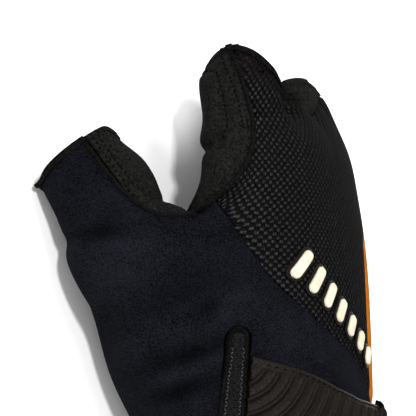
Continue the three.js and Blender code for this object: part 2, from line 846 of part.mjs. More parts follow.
// A piece laid on the skin: a grid of places with a top and an underside height at each
function drapedGeometry(places, top, under) {
  const solid = new Solid();
  const raise = (place, height) => solid.point(place.point.clone().addScaledVector(place.normal, height));
  const tops = places.map((row, i) => row.map((place, j) => raise(place, top(i, j))));
  const unders = places.map((row, i) => row.map((place, j) => raise(place, under(i, j))));
  const [m, n] = [places.length - 1, places[0].length - 1];
  for (let i = 0; i < m; i += 1) {
    for (let j = 0; j < n; j += 1) {
      solid.quad(tops[i][j], tops[i][j + 1], tops[i + 1][j + 1], tops[i + 1][j]);
      solid.quad(unders[i][j], unders[i + 1][j], unders[i + 1][j + 1], unders[i][j + 1]);
    }
  }
  for (let i = 0; i < m; i += 1) {
    solid.quad(tops[i + 1][0], unders[i + 1][0], unders[i][0], tops[i][0]);
    solid.quad(tops[i][n], unders[i][n], unders[i + 1][n], tops[i + 1][n]);
  }
  for (let j = 0; j < n; j += 1) {
    solid.quad(tops[0][j], unders[0][j], unders[0][j + 1], tops[0][j + 1]);
    solid.quad(tops[m][j + 1], unders[m][j + 1], unders[m][j], tops[m][j]);
  }
  return solid.geometry();
}

const colours = {
  navy: 0x1c1f26,
  mesh: 0x222326,
  suede: 0x1e1f1e,
  orange: 0xc87820,
  trim: 0x121315,
  rubber: 0x2a2622,
  cream: 0xddd6c0,
};
const glove = new THREE.Group();

function addPiece(name, geometry, colour, roughness) {
  const material = new THREE.MeshStandardMaterial({ color: colours[colour], roughness, metalness: 0 });
  const mesh = new THREE.Mesh(geometry, material);
  mesh.name = name;
  glove.add(mesh);
}

const clearOfHems = [above("hem", bendHalf), above("cuff", half)];
const backRegion = [
  below("palmSide", -half), below("overCrotch", -rollReach), below("sidePanel", -half), ...clearOfHems,
];
const meshRegion = [...backRegion, above("overBackSeam", half)];
const navyRegion = [...backRegion, below("overBackSeam", -half), outsideSlit];
const sideRegion = [below("palmSide", -half), above("sidePanel", half), ...clearOfHems];
const suedeRegion = [suedeSide, ...clearOfHems];

addPiece("back_mesh", panelGeometry(regionOf(meshRegion), 0, -wall), "mesh", 0.9);
addPiece("thumb_wrist_panel", panelGeometry(regionOf(navyRegion), 0, -wall), "navy", 0.95);
addPiece("side_panel", panelGeometry(regionOf(sideRegion), 0, -wall), "orange", 0.8);
const palmRegion = [...suedeRegion, below("finger", -bendHalf), below("thumb", -half)];
addPiece("palm_panel", panelGeometry(regionOf(palmRegion), 0, -wall), "suede", 0.95);
const thumbRegion = [...suedeRegion, above("thumb", half)];
addPiece("thumb_inner_panel", panelGeometry(regionOf(thumbRegion), 0, -wall), "suede", 0.95);
for (const finger of fingers) {
  const underside = [...suedeRegion, above("finger", bendHalf), onLimb(finger.name)];
  addPiece(`${finger.name}_underside`, panelGeometry(regionOf(underside), 0, -wall), "suede", 0.95);
}
for (const name of ["thumb", ...fingers.map((finger) => finger.name)]) {
  const hem = [below("hem", -bendHalf), onLimb(name)];
  addPiece(`${name}_hem`, panelGeometry(regionOf(hem), hemRise, -wall), "trim", 0.9);
}
addPiece("cuff_hem", panelGeometry(regionOf([below("cuff", -half)]), hemRise, -wall), "trim", 0.9);
const rollEnd = 4;
const rollRegion = [
  below("palmSide", -rollEnd), above("overCrotch", -seamHalf), below("overCrotch", seamHalf),
  above("hem", bendHalf),
];
addPiece("seam_roll", panelGeometry(regionOf(rollRegion), seamRise, -wall), "trim", 0.95);

// The slit's edge is bound with a rounded tape, and ribbed elastic closes it below the tape
const slitBase = cuffHemWidth + pieceGap;
const bindingWidth = 2.0;
const bindingRise = 1.0;
const bindingMiddle = (slitWidth - bindingWidth) / 2;
const legSteps = 7;
const archSteps = 6;
const bindingPath = [];
for (let n = 0; n < legSteps; n += 1) {
  bindingPath.push({ off: -1, y: blend(slitBase, slitRound, n / legSteps), rise: 0 });
}
for (let n = 0; n <= archSteps; n += 1) {
  const turn = (Math.PI * n) / archSteps;
  bindingPath.push({ off: -Math.cos(turn), y: slitRound, rise: Math.sin(turn) });
}
for (let n = legSteps - 1; n >= 0; n -= 1) {
  bindingPath.push({ off: 1, y: blend(slitBase, slitRound, n / legSteps), rise: 0 });
}
const tapeShares = [-1, -0.55, 0, 0.55, 1];
const bindingPlaces = bindingPath.map(({ off, y, rise }) => tapeShares.map((share) => {
  const reach = bindingMiddle - (share * bindingWidth) / 2;
  const along = y + rise * reach;
  return placeOn("sight", slitCentre(along) + off * reach, along);
}));
const tapeTop = (i, j) => bindingRise * Math.sqrt(1 - (0.85 * tapeShares[j]) ** 2);
addPiece("slit_binding", drapedGeometry(bindingPlaces, tapeTop, () => -wall), "trim", 0.9);

const gussetHalf = slitWidth / 2 - bindingWidth - pieceGap;
const gussetTop = slitRound + 0.5 * gussetHalf;
const gussetRows = 9;
const gussetPlaces = [];
for (let i = 0; i <= gussetRows; i += 1) {
  const y = blend(slitBase, gussetTop, i / gussetRows);
  const narrow = i === gussetRows ? 0.7 : 1;
  gussetPlaces.push([1, 0, -1].map((share) => placeOn("sight", slitCentre(y) - share * narrow * gussetHalf, y)));
}
const gussetSink = 0.6;
addPiece("slit_gusset", drapedGeometry(
  gussetPlaces.map((row) => [...row].reverse()).reverse(), () => -gussetSink, () => -gussetSink - wall), "trim", 0.9);

// The rubber wrist tab lies over the back of the cuff, from the slit to the little-finger side.
// station: round the section. low, high: its edges as shares of palmLength.
const tabOutline = [
  { station: 1.6, low: 0.075, high: 0.352 },
  { station: 2.6, low: 0.07, high: 0.315 },
  { station: 3.6, low: 0.07, high: 0.272 },
  { station: 4.7, low: 0.07, high: 0.243 },
  { station: 6.3, low: 0.07, high: 0.228 },
  { station: 8.0, low: 0.07, high: 0.22 },
  { station: 9.6, low: 0.075, high: 0.21 },
];
const tabThickness = 2.0;
const tabColumns = 44;
const tabRows = 5;
const ripplePitch = 4.2;
const rippleHeight = 0.6;
const tabPlaces = [];
for (let i = 0; i <= tabColumns; i += 1) {
  const [first, last] = [tabOutline[0].station, tabOutline[tabOutline.length - 1].station];
  const station = blend(first, last, i / tabColumns);
  const low = tableValue(tabOutline, "station", "low", station) * palmLength;
  const high = tableValue(tabOutline, "station", "high", station) * palmLength;
  const column = [];
  for (let j = 0; j <= tabRows; j += 1) {
    const y = blend(high, low, j / tabRows);
    const edge = placeOn("sight", slitCentre(y) + slitWidth / 2 + 2 * pieceGap, y).station;
    column.push(placeOn("stations", blend(edge, last, i / tabColumns), y));
  }
  tabPlaces.push(column);
}
// Ripples spread over the tab from a point on the slit, level with the tab's upper corner
const rippleCentre = placeOn("sight", slitCentre(0.345 * palmLength), 0.345 * palmLength).point;
const fromCentre = tabPlaces.map((column) => column.map(() => 0));
for (let j = 0; j <= tabRows; j += 1) {
  const start = tabPlaces[0][j].point;
  let along = Math.hypot(start.x - rippleCentre.x, start.z - rippleCentre.z);
  for (let i = 0; i <= tabColumns; i += 1) {
    const here = tabPlaces[i][j].point;
    if (i > 0) {
      const before = tabPlaces[i - 1][j].point;
      along += Math.hypot(here.x - before.x, here.z - before.z);
    }
    fromCentre[i][j] = Math.hypot(along, here.y - rippleCentre.y);
  }
}
const tabTop = (i, j) => {
  const edge = j === 0 || j === tabRows || i === 0 || i === tabColumns;
  const wave = edge ? 0 : 0.5 + 0.5 * Math.cos((2 * Math.PI * fromCentre[i][j]) / ripplePitch);
  return pieceGap + tabThickness + rippleHeight * wave;
};
addPiece("wrist_tab", drapedGeometry(tabPlaces, tabTop, () => pieceGap), "rubber", 0.55);

// A suede pull tab stands up from the palm side of the middle finger's hem
const pullLength = 9;
const pullRings = [0, 0.4, 0.75, 1];
const pullNarrow = [1, 0.97, 0.86, 0.6];
const pullSteps = 8;
const pullSpan = radians(62);
const pullPlaces = pullRings.map((share, i) => {
  const { centre, aim, side, top, halfWidth, halfDepth } = hemFrames.middle;
  const row = [];
  for (let n = 0; n <= pullSteps; n += 1) {
    const turn = -Math.PI / 2 + 0.25 + pullSpan * pullNarrow[i] * (1 - (2 * n) / pullSteps);
    const across = side.clone().multiplyScalar((Math.cos(turn) * halfWidth) / pull(8));
    const up = top.clone().multiplyScalar((Math.sin(turn) * halfDepth) / pull(8));
    const out = aim.clone().multiplyScalar(pieceGap + 0.3 + share * pullLength);
    const point = toTable(centre.clone().add(across).add(up).add(out));
    point.z -= table;
    const normal = side.clone().multiplyScalar(Math.cos(turn)).addScaledVector(top, Math.sin(turn));
    row.push({ point, normal: toTable(normal) });
  }
  return row;
});
addPiece("middle_pull_tab", drapedGeometry(pullPlaces, () => 0, () => -wall), "suede", 0.95);

// Raised rubber bars on the mesh, along the back seam and shorter towards the little finger
const barCount = 7;
const barWidth = 3.8;
const barRise = 1.3;
const barLongest = 10.5;
const barShortest = 6.5;
const barRow = {
  from: { station: 2.75, along: 0.6 },
  to: { station: 6.0, along: 0.365 },
};
const barShares = [-1, -0.75, 0, 0.75, 1];
const barEnds = [0.5, 1, 1, 1, 0.5];
const barAcross = [-1, -0.6, 0, 0.6, 1];
for (let n = 0; n < barCount; n += 1) {
  const t = n / (barCount - 1);
  const station = blend(barRow.from.station, barRow.to.station, t);
  const y = blend(barRow.from.along, barRow.to.along, t) * palmLength;
  const long = blend(barLongest, barShortest, t) / 2;
  const lean = radians(52);
  const places = barShares.map((share, i) => barAcross.map((side) => {
    const along = share * long;
    const across = (side * barWidth * barEnds[i]) / 2;
    const over = along * Math.cos(lean) + across * Math.sin(lean);
    const up = along * Math.sin(lean) - across * Math.cos(lean);
    return placeOn("stations", station + over / stationSize, y + up);
  }));
  const onRim = (i, j) => Math.abs(barAcross[j]) === 1 || Math.abs(barShares[i]) === 1;
  const top = (i, j) => pieceGap + barRise * (onRim(i, j) ? 0.6 : 1);
  addPiece(`back_bar_${n + 1}`, drapedGeometry(places, top, () => pieceGap), "cream", 0.5);
}

// The origin is under the middle of the glove, on the table
const extent = new THREE.Box3().setFromObject(glove);
const middle = extent.getCenter(new THREE.Vector3());
glove.traverse((mesh) => {
  mesh.geometry?.translate(-middle.x, -middle.y, 0);
});

export default glove;
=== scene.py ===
# %% [markdown]
# # A short-finger cycling glove
# The imported solids come in first, as the frame that every piece is fitted to. They stay where
# they are.

# %% The frame
import math

import bmesh
import bpy
import numpy as np
from mathutils import Matrix, Vector
from mathutils.bvhtree import BVHTree
from mathutils.geometry import barycentric_transform


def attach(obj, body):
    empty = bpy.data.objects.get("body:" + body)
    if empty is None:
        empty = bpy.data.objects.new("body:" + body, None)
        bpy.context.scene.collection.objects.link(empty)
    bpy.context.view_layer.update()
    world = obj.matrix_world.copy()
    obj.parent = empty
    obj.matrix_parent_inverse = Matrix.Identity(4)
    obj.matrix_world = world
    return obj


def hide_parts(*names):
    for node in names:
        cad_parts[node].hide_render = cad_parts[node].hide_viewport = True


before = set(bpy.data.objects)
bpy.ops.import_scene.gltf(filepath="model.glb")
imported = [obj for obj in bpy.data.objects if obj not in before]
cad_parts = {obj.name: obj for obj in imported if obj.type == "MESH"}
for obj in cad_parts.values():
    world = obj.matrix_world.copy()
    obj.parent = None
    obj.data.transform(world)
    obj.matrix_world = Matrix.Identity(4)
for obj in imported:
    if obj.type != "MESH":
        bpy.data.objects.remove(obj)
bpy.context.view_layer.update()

# %% [markdown]
# ## Camera
# The glove lies on a table and is seen from its thumb side, well above the table. A camera can be
# turned by hand or built from the way it looks. It is built here, so that later cells can measure
# along the picture's own right and up. A long lens from 0.9 m keeps the outline almost free of
# perspective, and 3.3 pixels of the picture are 1 mm.

# %% Camera
MM = 0.001
PICTURE = 416
PIXELS_PER_MM = 3.3
camera_distance = 900 * MM
look_at = Vector((-3.65, 19.4, 22)) * MM
camera_angle = math.radians(41)
towards_camera = Vector((-math.sin(camera_angle), -0.10, math.cos(camera_angle))).normalized()
camera_data = bpy.data.cameras.new("camera")
camera = bpy.data.objects.new("camera", camera_data)
bpy.context.collection.objects.link(camera)
right = (-towards_camera).cross(Vector((0, 1, 0))).normalized()
upward = right.cross(-towards_camera)
camera.matrix_world = Matrix.Translation(look_at + towards_camera * camera_distance) @ Matrix(
    (right, upward, towards_camera)).transposed().to_4x4()
camera_data.sensor_width = 36
camera_data.lens = 36 * camera_distance / (PICTURE / PIXELS_PER_MM * MM)
camera_data.clip_start = 0.01
bpy.context.scene.camera = camera
print("lens", round(camera_data.lens, 1))

# %% [markdown]
# ## Table and light
# The table is a plain pale sheet. Dark cloth needs little light to keep its folds, while the
# shadow has to stay narrow and pale. So a small light stands near the camera's own line, a broad
# one hangs over the fingers, and a white world fills the rest.

# %% Table and light
def plain_material(name, colour, roughness):
    material = bpy.data.materials.new(name)
    material.use_nodes = True
    shader = material.node_tree.nodes["Principled BSDF"]
    shader.inputs["Base Color"].default_value = (*colour, 1)
    shader.inputs["Roughness"].default_value = roughness
    return material


def mesh_piece(name, bm, *materials):
    mesh = bpy.data.meshes.new(name)
    bm.to_mesh(mesh)
    bm.free()
    for material in materials:
        mesh.materials.append(material)
    for polygon in mesh.polygons:
        polygon.use_smooth = True
    piece = bpy.data.objects.new(name, mesh)
    bpy.context.collection.objects.link(piece)
    return piece


bm = bmesh.new()
bmesh.ops.create_grid(bm, x_segments=1, y_segments=1, size=3)
table_sheet = mesh_piece("table", bm, plain_material("table", (0.86, 0.86, 0.86), 0.9))

world = bpy.data.worlds.new("studio")
bpy.context.scene.world = world
world.use_nodes = True
world.node_tree.nodes["Background"].inputs["Color"].default_value = (1, 1, 1, 1)
world.node_tree.nodes["Background"].inputs["Strength"].default_value = 1.0


def add_light(name, place, size, power):
    data = bpy.data.lights.new(name, "AREA")
    data.shape = "DISK"
    data.size = size
    data.energy = power
    light = bpy.data.objects.new(name, data)
    bpy.context.collection.objects.link(light)
    light.location = place
    light.rotation_euler = (look_at - Vector(place)).to_track_quat("-Z", "Y").to_euler()
    return light


KEY_RIGHT, KEY_UP, KEY_AWAY = 0.24, 0.3, 1.2
key_way = (towards_camera + KEY_RIGHT * right + KEY_UP * upward).normalized()
add_light("key", look_at + key_way * KEY_AWAY, size=0.1, power=11)
add_light("overhead", (-0.12, 0.45, 1.1), size=0.5, power=8)
bpy.context.scene.view_settings.view_transform = "Standard"
print("lights", [light.name for light in bpy.data.lights])

# %% [markdown]
# ## Sizes
# The sizes are those of the solids, in millimetres. x runs from the thumb side to the little-
# finger side, y from the cuff to the fingers and z from the palm to the back, before the glove is
# rolled onto its thumb and heel.

# %% Sizes
PALM_LENGTH, PALM_WIDTH, PALM_DEPTH = 110, 86, 33
CUFF_WIDTH, CUFF_DEPTH = 76, 62
FINGER_WIDTH, FINGER_DEPTH, FINGER_LENGTH = 23.5, 28, 12.5
THUMB_WIDTH, THUMB_DEPTH, THUMB_LENGTH, THUMB_BALL = 30, 28, 50, 22
WALL = 1.6
SEAM_WIDTH = 1.5
CUFF_HEM = 3.2
REST_ROLL, REST_PITCH, REST_SINK = math.radians(18.5), math.radians(1.5), 2.4
# One station round the hand, in mm. The middles of the back and of the palm are stations too
STATION = (PALM_WIDTH + PALM_DEPTH) / 11
STATIONS, BACK_MIDDLE, PALM_MIDDLE = 20, 5, 15
# How far the rolled glove is moved so that the frame's origin is under its middle
TABLE_SHIFT = np.array([15.349, -64.597, 0])

# along, x, z, palm, swell, ball, twist of each section, from the cuff to the finger roots
BODY_SECTIONS = [
    (0.0, -0.02, 0.0, 0.0, 0.9, 0.0, 0),
    (0.075, -0.01, 0.02, 0.02, 0.95, 0.25, 0),
    (0.19, 0.0, 0.04, 0.12, 1.0, 0.55, 0),
    (0.315, 0.01, 0.04, 0.35, 1.02, 0.98, 0),
    (0.49, 0.02, 0.05, 0.62, 1.03, 1.07, 0),
    (0.72, 0.04, 0.08, 0.9, 1.02, 0.2, 3),
    (0.86, 0.05, 0.06, 1.0, 0.98, 0.0, 8),
    (1.0, 0.05, -0.02, 1.0, 0.9, 0.0, 11),
]
ACROSS = [-0.94, -0.7, -0.38, -0.13, 0.12, 0.36, 0.58, 0.78, 0.95]
# The ball of the thumb: its station, its spread in stations, and how it is pushed out and down
BALL_STATION, BALL_SPREAD, BALL_OUT, BALL_DOWN = 18, 2.6, 0.62, 0.78
CUFF_POWER, PALM_POWER = 2.0, 2.5
# name, flex, splay, length, width, depth, lean, shift
FINGERS = [
    ("index", -8, -2, 0.96, 1.0, 1.0, 0.85, 0.06),
    ("middle", -8, 1, 0.56, 0.77, 0.86, 0, -0.02),
    ("ring", 18, 4, 0.8, 0.74, 0.8, 0, 0),
    ("little", 38, 9, 0.85, 0.68, 0.74, 0, 0),
]
# The last ring of points but one stands this far from a tube's rim
RIM_RING = 2.4
FINGER_RINGS = (0.45, 1 - RIM_RING / FINGER_LENGTH, 1)
THUMB_ROWS = (3, 5)
THUMB_AIM = Vector((-0.3, 0.8, -0.47)).normalized()
THUMB_OUTWARD = Vector((-0.55, 0, 0.83))
THUMB_SECTIONS = [(0.34, 1.2), (0.66, 1.02), (1 - RIM_RING / THUMB_LENGTH, 1.0), (1, 1.02)]
# Carried by points that no hem is near
FAR_FROM_HEM = 60
LIMBS = ["body", "index", "middle", "ring", "little", "thumb"]
print("palm", PALM_LENGTH, "x", PALM_WIDTH, "mm, station", round(STATION, 2), "mm")

# %% [markdown]
# ## The cage
# A glove is one skin with five tubes growing out of it, which is what subdivision surfaces draw
# well. A grid is wrapped round the hand's sections and welded into a tube, a hole is opened for
# the thumb, and the rims of the finger roots and of that hole are extruded outwards ring by ring.
# Every point also carries what later cells need: how far it is from the palm round to the back,
# its station, its column of the knit and its distances from the hem and from the thumb's root.

# %% The body's grid
def mix(a, b, t):
    return a + (b - a) * t


def back_of_turn(turn):
    return 1 - 2 * abs(turn) / math.pi


def body_place(row, j):
    along, x0, z0, palm, swell, ball, twist = BODY_SECTIONS[row]
    half = mix(CUFF_WIDTH, PALM_WIDTH, palm) * swell / 2
    rise = mix(CUFF_DEPTH, PALM_DEPTH, palm) * swell / 2
    power = mix(CUFF_POWER, PALM_POWER, palm)
    share = ([-1] + ACROSS + [1] + ACROSS[::-1])[j]
    up = rise * max(0, 1 - abs(share) ** power) ** (1 / power)
    from_ball = min(abs(j - BALL_STATION), STATIONS - abs(j - BALL_STATION))
    push = ball * THUMB_BALL * math.exp(-(from_ball / BALL_SPREAD) ** 2)
    x = share * half
    z = z0 * PALM_DEPTH + (up if j < 10 else -up)
    z = z - BALL_DOWN * push - x * math.tan(math.radians(twist))
    return Vector((x0 * PALM_WIDTH + x - BALL_OUT * push, along * PALM_LENGTH, z))


rows = len(BODY_SECTIONS)
cage = bmesh.new()
station_tag = cage.verts.layers.int.new("tag")
bmesh.ops.create_grid(cage, x_segments=STATIONS, y_segments=rows - 1, size=1)
spare = []
for face in cage.faces:
    middle = face.calc_center_median()
    column = int((middle.x + 1) / 2 * STATIONS)
    row = int((middle.y + 1) / 2 * (rows - 1))
    if THUMB_ROWS[0] <= row < THUMB_ROWS[1] and (column >= 17 or column == 0):
        spare.append(face)
for vert in cage.verts:
    column = round((vert.co.x + 1) / 2 * STATIONS) % STATIONS
    row = round((vert.co.y + 1) / 2 * (rows - 1))
    vert[station_tag] = row * STATIONS + column
    vert.co = body_place(row, column)
bmesh.ops.delete(cage, geom=spare, context="FACES")
bmesh.ops.remove_doubles(cage, verts=cage.verts, dist=1e-4)
carried = {}
ring = {}
for vert in cage.verts:
    row, column = divmod(vert[station_tag], STATIONS)
    away = abs(column - BACK_MIDDLE)
    back = back_of_turn(2 * math.pi * min(away, STATIONS - away) / STATIONS)
    ring[row, column] = vert
    station = column - STATIONS if column >= PALM_MIDDLE else column
    carried[vert] = (back, station, station, FAR_FROM_HEM, 0)
print("body", len(cage.verts), "points", len(cage.faces), "faces")


# %% Fingers and thumb, extruded from their rims
def extrude_rim(rim, places, limb):
    edges = [cage.edges.get(pair) for pair in zip(rim, rim[1:] + rim[:1])]
    made = bmesh.ops.extrude_edge_only(cage, edges=edges)["geom"]
    fresh = {g for g in made if isinstance(g, bmesh.types.BMVert)}
    for face in (g for g in made if isinstance(g, bmesh.types.BMFace)):
        face.material_index = LIMBS.index(limb)
    outer = []
    for old, (place, values) in zip(rim, places):
        new = next(e.other_vert(old) for e in old.link_edges if e.other_vert(old) in fresh)
        new.co = place
        carried[new] = values
        outer.append(new)
    return outer


def centre_of(rim):
    return sum((vert.co for vert in rim), Vector()) / len(rim)


def cage_pull(count):
    return 3 / (2 + math.cos(2 * math.pi / count))


last = rows - 1
webs = []
for n in (1, 2, 3):
    pair = [ring[last, 1 + 2 * n], ring[last, 19 - 2 * n]]
    web = cage.verts.new(centre_of(pair))
    carried[web] = (0, BACK_MIDDLE, 1 + 2 * n, FAR_FROM_HEM, 0)
    webs.append(web)
    for vert in pair:
        cage.edges.new((vert, web))

hem_frames = {}
for k, (name, flex, splay, length, width, depth, lean, shift) in enumerate(FINGERS):
    left = ring[last, 0] if k == 0 else webs[k - 1]
    right_side = ring[last, 10] if k == 3 else webs[k]
    over = [ring[last, 1 + n] for n in (2 * k, 2 * k + 1, 2 * k + 2)]
    under = [ring[last, 19 - n] for n in (2 * k + 2, 2 * k + 1, 2 * k)]
    rim = over + [right_side] + under + [left]
    root = centre_of(rim)
    half_width = FINGER_WIDTH * width * cage_pull(8) / 2
    half_depth = FINGER_DEPTH * depth * cage_pull(8) / 2
    turn_out = math.radians(splay)
    for share in FINGER_RINGS:
        bend = math.radians(flex * (0.5 + 0.5 * share))
        aim = Vector((math.sin(turn_out), math.cos(turn_out) * math.cos(bend), -math.sin(bend)))
        aim.normalize()
        side = aim.cross(Vector((0, 0, 1))).normalized()
        top = side.cross(aim).normalized()
        centre = root + aim * (FINGER_LENGTH * length * share) - side * (shift * FINGER_WIDTH)
        hem_frames[name] = (centre, aim, side, top, half_width, half_depth)
        places = []
        for n in range(8):
            angle = math.pi * (3 - n) / 4
            point = centre + side * (math.cos(angle) * half_width)
            point += top * (math.sin(angle) * half_depth)
            point += aim * (-0.5 * share * lean * FINGER_WIDTH * math.cos(angle))
            turn = angle + 1.5 * math.pi if angle < -math.pi / 2 else angle - math.pi / 2
            weave = 2 * k if n == 7 else 2 * k + 1 + min(n, 3)
            hem = (1 - share) * FINGER_LENGTH * length
            places.append((point, (back_of_turn(turn), BACK_MIDDLE, weave, hem, 0)))
        rim = extrude_rim(rim, places, name)

low, high = THUMB_ROWS
rim = [ring[low, j] for j in (17, 18, 19, 0, 1)] + [ring[low + 1, 1]]
rim += [ring[high, j] for j in (1, 0, 19, 18, 17)] + [ring[low + 1, 17]]
root = centre_of(rim)
thumb_side = (THUMB_OUTWARD - THUMB_AIM * THUMB_OUTWARD.dot(THUMB_AIM)).normalized()
thumb_fore = thumb_side.cross(THUMB_AIM).normalized()
thumb_fore *= math.copysign(1, thumb_fore.y)
for share, girth in THUMB_SECTIONS:
    centre = root + THUMB_AIM * (THUMB_LENGTH * share)
    places = []
    for n in range(12):
        angle = (n - 5) * math.pi / 6
        point = centre + thumb_side * (math.cos(angle) * THUMB_DEPTH / 2 * cage_pull(12) * girth)
        point += thumb_fore * (math.sin(angle) * THUMB_WIDTH / 2 * cage_pull(12) * girth)
        weave, hem = 2 * math.cos(angle), (1 - share) * THUMB_LENGTH
        places.append((point, (back_of_turn(angle), 0, weave, hem, share * THUMB_LENGTH)))
    rim = extrude_rim(rim, places, "thumb")
bmesh.ops.recalc_face_normals(cage, faces=cage.faces)
cage.verts.index_update()
print("cage", len(cage.verts), "points", len(cage.faces), "faces")

# %% [markdown]
# ## The smooth skin
# A Subdivision Surface turns the cage into a fine skin. What the points carry has to be smoothed
# in the same way, so the same cage is subdivided three times: once with its real places, and
# twice with the five carried numbers, and a nought, standing in for x, y and z.

# %% Subdivide the cage
SKIN_LEVELS = 4
cage_mesh = bpy.data.meshes.new("cage")
cage.to_mesh(cage_mesh)
places = np.array([vert.co[:] for vert in cage.verts])
values = np.array([(*carried[vert], 0) for vert in cage.verts], float)
cage.free()


def subdivided(coordinates):
    mesh = cage_mesh.copy()
    mesh.vertices.foreach_set("co", coordinates.astype(np.float32).ravel())
    cage_object = bpy.data.objects.new("cage", mesh)
    bpy.context.collection.objects.link(cage_object)
    modifier = cage_object.modifiers.new("smooth", "SUBSURF")
    modifier.levels = SKIN_LEVELS
    modifier.render_levels = SKIN_LEVELS
    modifier.boundary_smooth = "ALL"
    depsgraph = bpy.context.evaluated_depsgraph_get()
    fine = bpy.data.meshes.new_from_object(cage_object.evaluated_get(depsgraph))
    bpy.data.objects.remove(cage_object)
    out = np.empty(len(fine.vertices) * 3, np.float32)
    fine.vertices.foreach_get("co", out)
    return fine, out.reshape(-1, 3).astype(float)


skin_mesh, hand = subdivided(places)
_, first = subdivided(values[:, :3])
_, second = subdivided(values[:, 3:])
back, girth, weave = first.T
hem, thumb, _ = second.T
print("skin", len(skin_mesh.vertices), "points", len(skin_mesh.polygons), "faces")

# %% [markdown]
# ## Seams as distance fields
# The real panels are cut flat and sewn, so their seams are smooth curves. They could be drawn as
# edges of the cage, but then each fold of the cage would bend them. Here each seam is a spline
# through a few points as seen from the thumb side, in shares of the palm's width and length, and
# every point of the skin gets its signed distance to it.

# %% Seam curves
SIGHT = math.radians(60)
across = hand[:, 0] * math.cos(SIGHT) + hand[:, 2] * math.sin(SIGHT)
along = hand[:, 1]

CROTCH_SEAM = [
    (-0.72, 0.99), (-0.6, 0.868), (-0.503, 0.778), (-0.41, 0.733), (-0.284, 0.73),
    (-0.185, 0.772), (-0.09, 0.85), (-0.043, 0.955), (-0.055, 1.05), (-0.1, 1.122), (-0.14, 1.17),
    (-0.2, 1.25),
]
BACK_SEAM = [
    (-0.36, 0.9), (-0.198, 0.766), (0.003, 0.564), (0.142, 0.47), (0.258, 0.393),
    (0.333, 0.33), (0.4, 0.18),
]
# along, station
SIDE_SEAM = [(0.0, 6.4), (0.33, 6.4), (0.55, 6.8), (0.68, 7.1), (0.78, 8.2), (0.94, 11), (1.1, 12)]


def spline(points, steps=8):
    points = [np.array(p, float) for p in points]
    out = []
    for n in range(len(points) - 1):
        a, b = points[max(n - 1, 0)], points[n]
        c, d = points[n + 1], points[min(n + 2, len(points) - 1)]
        for t in np.arange(steps) / steps:
            bend = 2 * a - 5 * b + 4 * c - d + t * (3 * b - a - 3 * c + d)
            out.append(b + 0.5 * t * (c - a + t * bend))
    return np.array(out + [points[-1]])


def in_mm(points):
    return np.array(points, float) * (PALM_WIDTH, PALM_LENGTH)


def line_distance(points):
    here = np.stack([across, along], axis=1)
    line = spline(in_mm(points))
    nearest = np.full(len(here), 1e9)
    signed = np.zeros(len(here))
    for a, b in zip(line, line[1:]):
        step, reach = b - a, here - a
        t = np.clip(reach @ step / (step @ step), 0, 1)
        away = np.linalg.norm(reach - t[:, None] * step, axis=1)
        side = np.sign(step[0] * reach[:, 1] - step[1] * reach[:, 0])
        closer = away < nearest
        nearest[closer] = away[closer]
        signed[closer] = (side * away)[closer]
    return signed


def smoothstep(low, high, value):
    t = np.clip((value - low) / (high - low), 0, 1)
    return t * t * (3 - 2 * t)


crotch = line_distance(CROTCH_SEAM)
back_seam = line_distance(BACK_SEAM)
# The suede ends at the first value of back, and beside the ball of the thumb at the second
PALM_EDGE, PALM_EDGE_AT_BALL = 0.2, 0.55
below_knuckles = smoothstep(-0.78, -0.55, -along / PALM_LENGTH)
beside = below_knuckles * smoothstep(0, 0.2, -hand[:, 0] / PALM_WIDTH)
palm = (-back - mix(PALM_EDGE, PALM_EDGE_AT_BALL, beside)) * STATIONS / 4 * STATION
side_at = np.interp(along / PALM_LENGTH, *np.array(SIDE_SEAM).T)
side = np.minimum((girth - side_at) * STATION, hand[:, 0] - 0.1 * PALM_WIDTH)
SLIT_WIDTH, SLIT_TOP, SLIT_ACROSS, SLIT_LEAN = 8, 47, -12, 0.07
# The slit is cut only where back is above this
SLIT_BACK = -0.1
# A distance that stands for outside
OUTSIDE = 20


def slit_centre(y):
    return SLIT_ACROSS + SLIT_LEAN * y


slit_round = SLIT_TOP - SLIT_WIDTH / 2
slit = np.hypot(across - slit_centre(along), np.maximum(0, along - slit_round)) - SLIT_WIDTH / 2
slit = np.where(back > SLIT_BACK, slit, OUTSIDE)
# The suede cap of the middle finger starts above this line
CAP_LINE = [
    (0.07, 1.16), (0.085, 1.11), (0.105, 1.055), (0.135, 1.022), (0.168, 1.032), (0.19, 1.07),
    (0.22, 1.14),
]
on_middle = (back > 0.1) & (hand[:, 1] > 0.95 * PALM_LENGTH) & (across > 0.06 * PALM_WIDTH)
cap = np.where(on_middle, line_distance(CAP_LINE), -OUTSIDE)
print("the crotch seam is", crotch.min().round(1), "to", crotch.max().round(1), "mm away")

# %% [markdown]
# ## Onto the table
# The glove rolls onto its thumb, heel and little finger. Cloth that would sink into the table is
# eased up to it, so the heel has a flat place as soft goods do.

# %% Roll, pitch and rest
roll = np.array(Matrix.Rotation(REST_ROLL, 3, "Y"))
pitch = np.array(Matrix.Rotation(REST_PITCH, 3, "X"))


def to_table(points):
    return np.asarray(points) @ roll.T @ pitch.T


laid = to_table(hand)
table_height = laid[:, 2].min() + REST_SINK
lift = laid[:, 2] - table_height
EASE = 1.0
laid[:, 2] = np.where(np.abs(lift) < EASE, (lift + EASE) ** 2 / (4 * EASE), np.maximum(0, lift))
laid += TABLE_SHIFT

# %% [markdown]
# ## The outline
# Cloth over a hand bulges and dips in places that plain sections don't have. More sections could
# draw that, but each would need its own sizes. Soft round nudges are simpler: each moves a patch
# of the skin across the picture by a millimetre or three, and fades out round it.

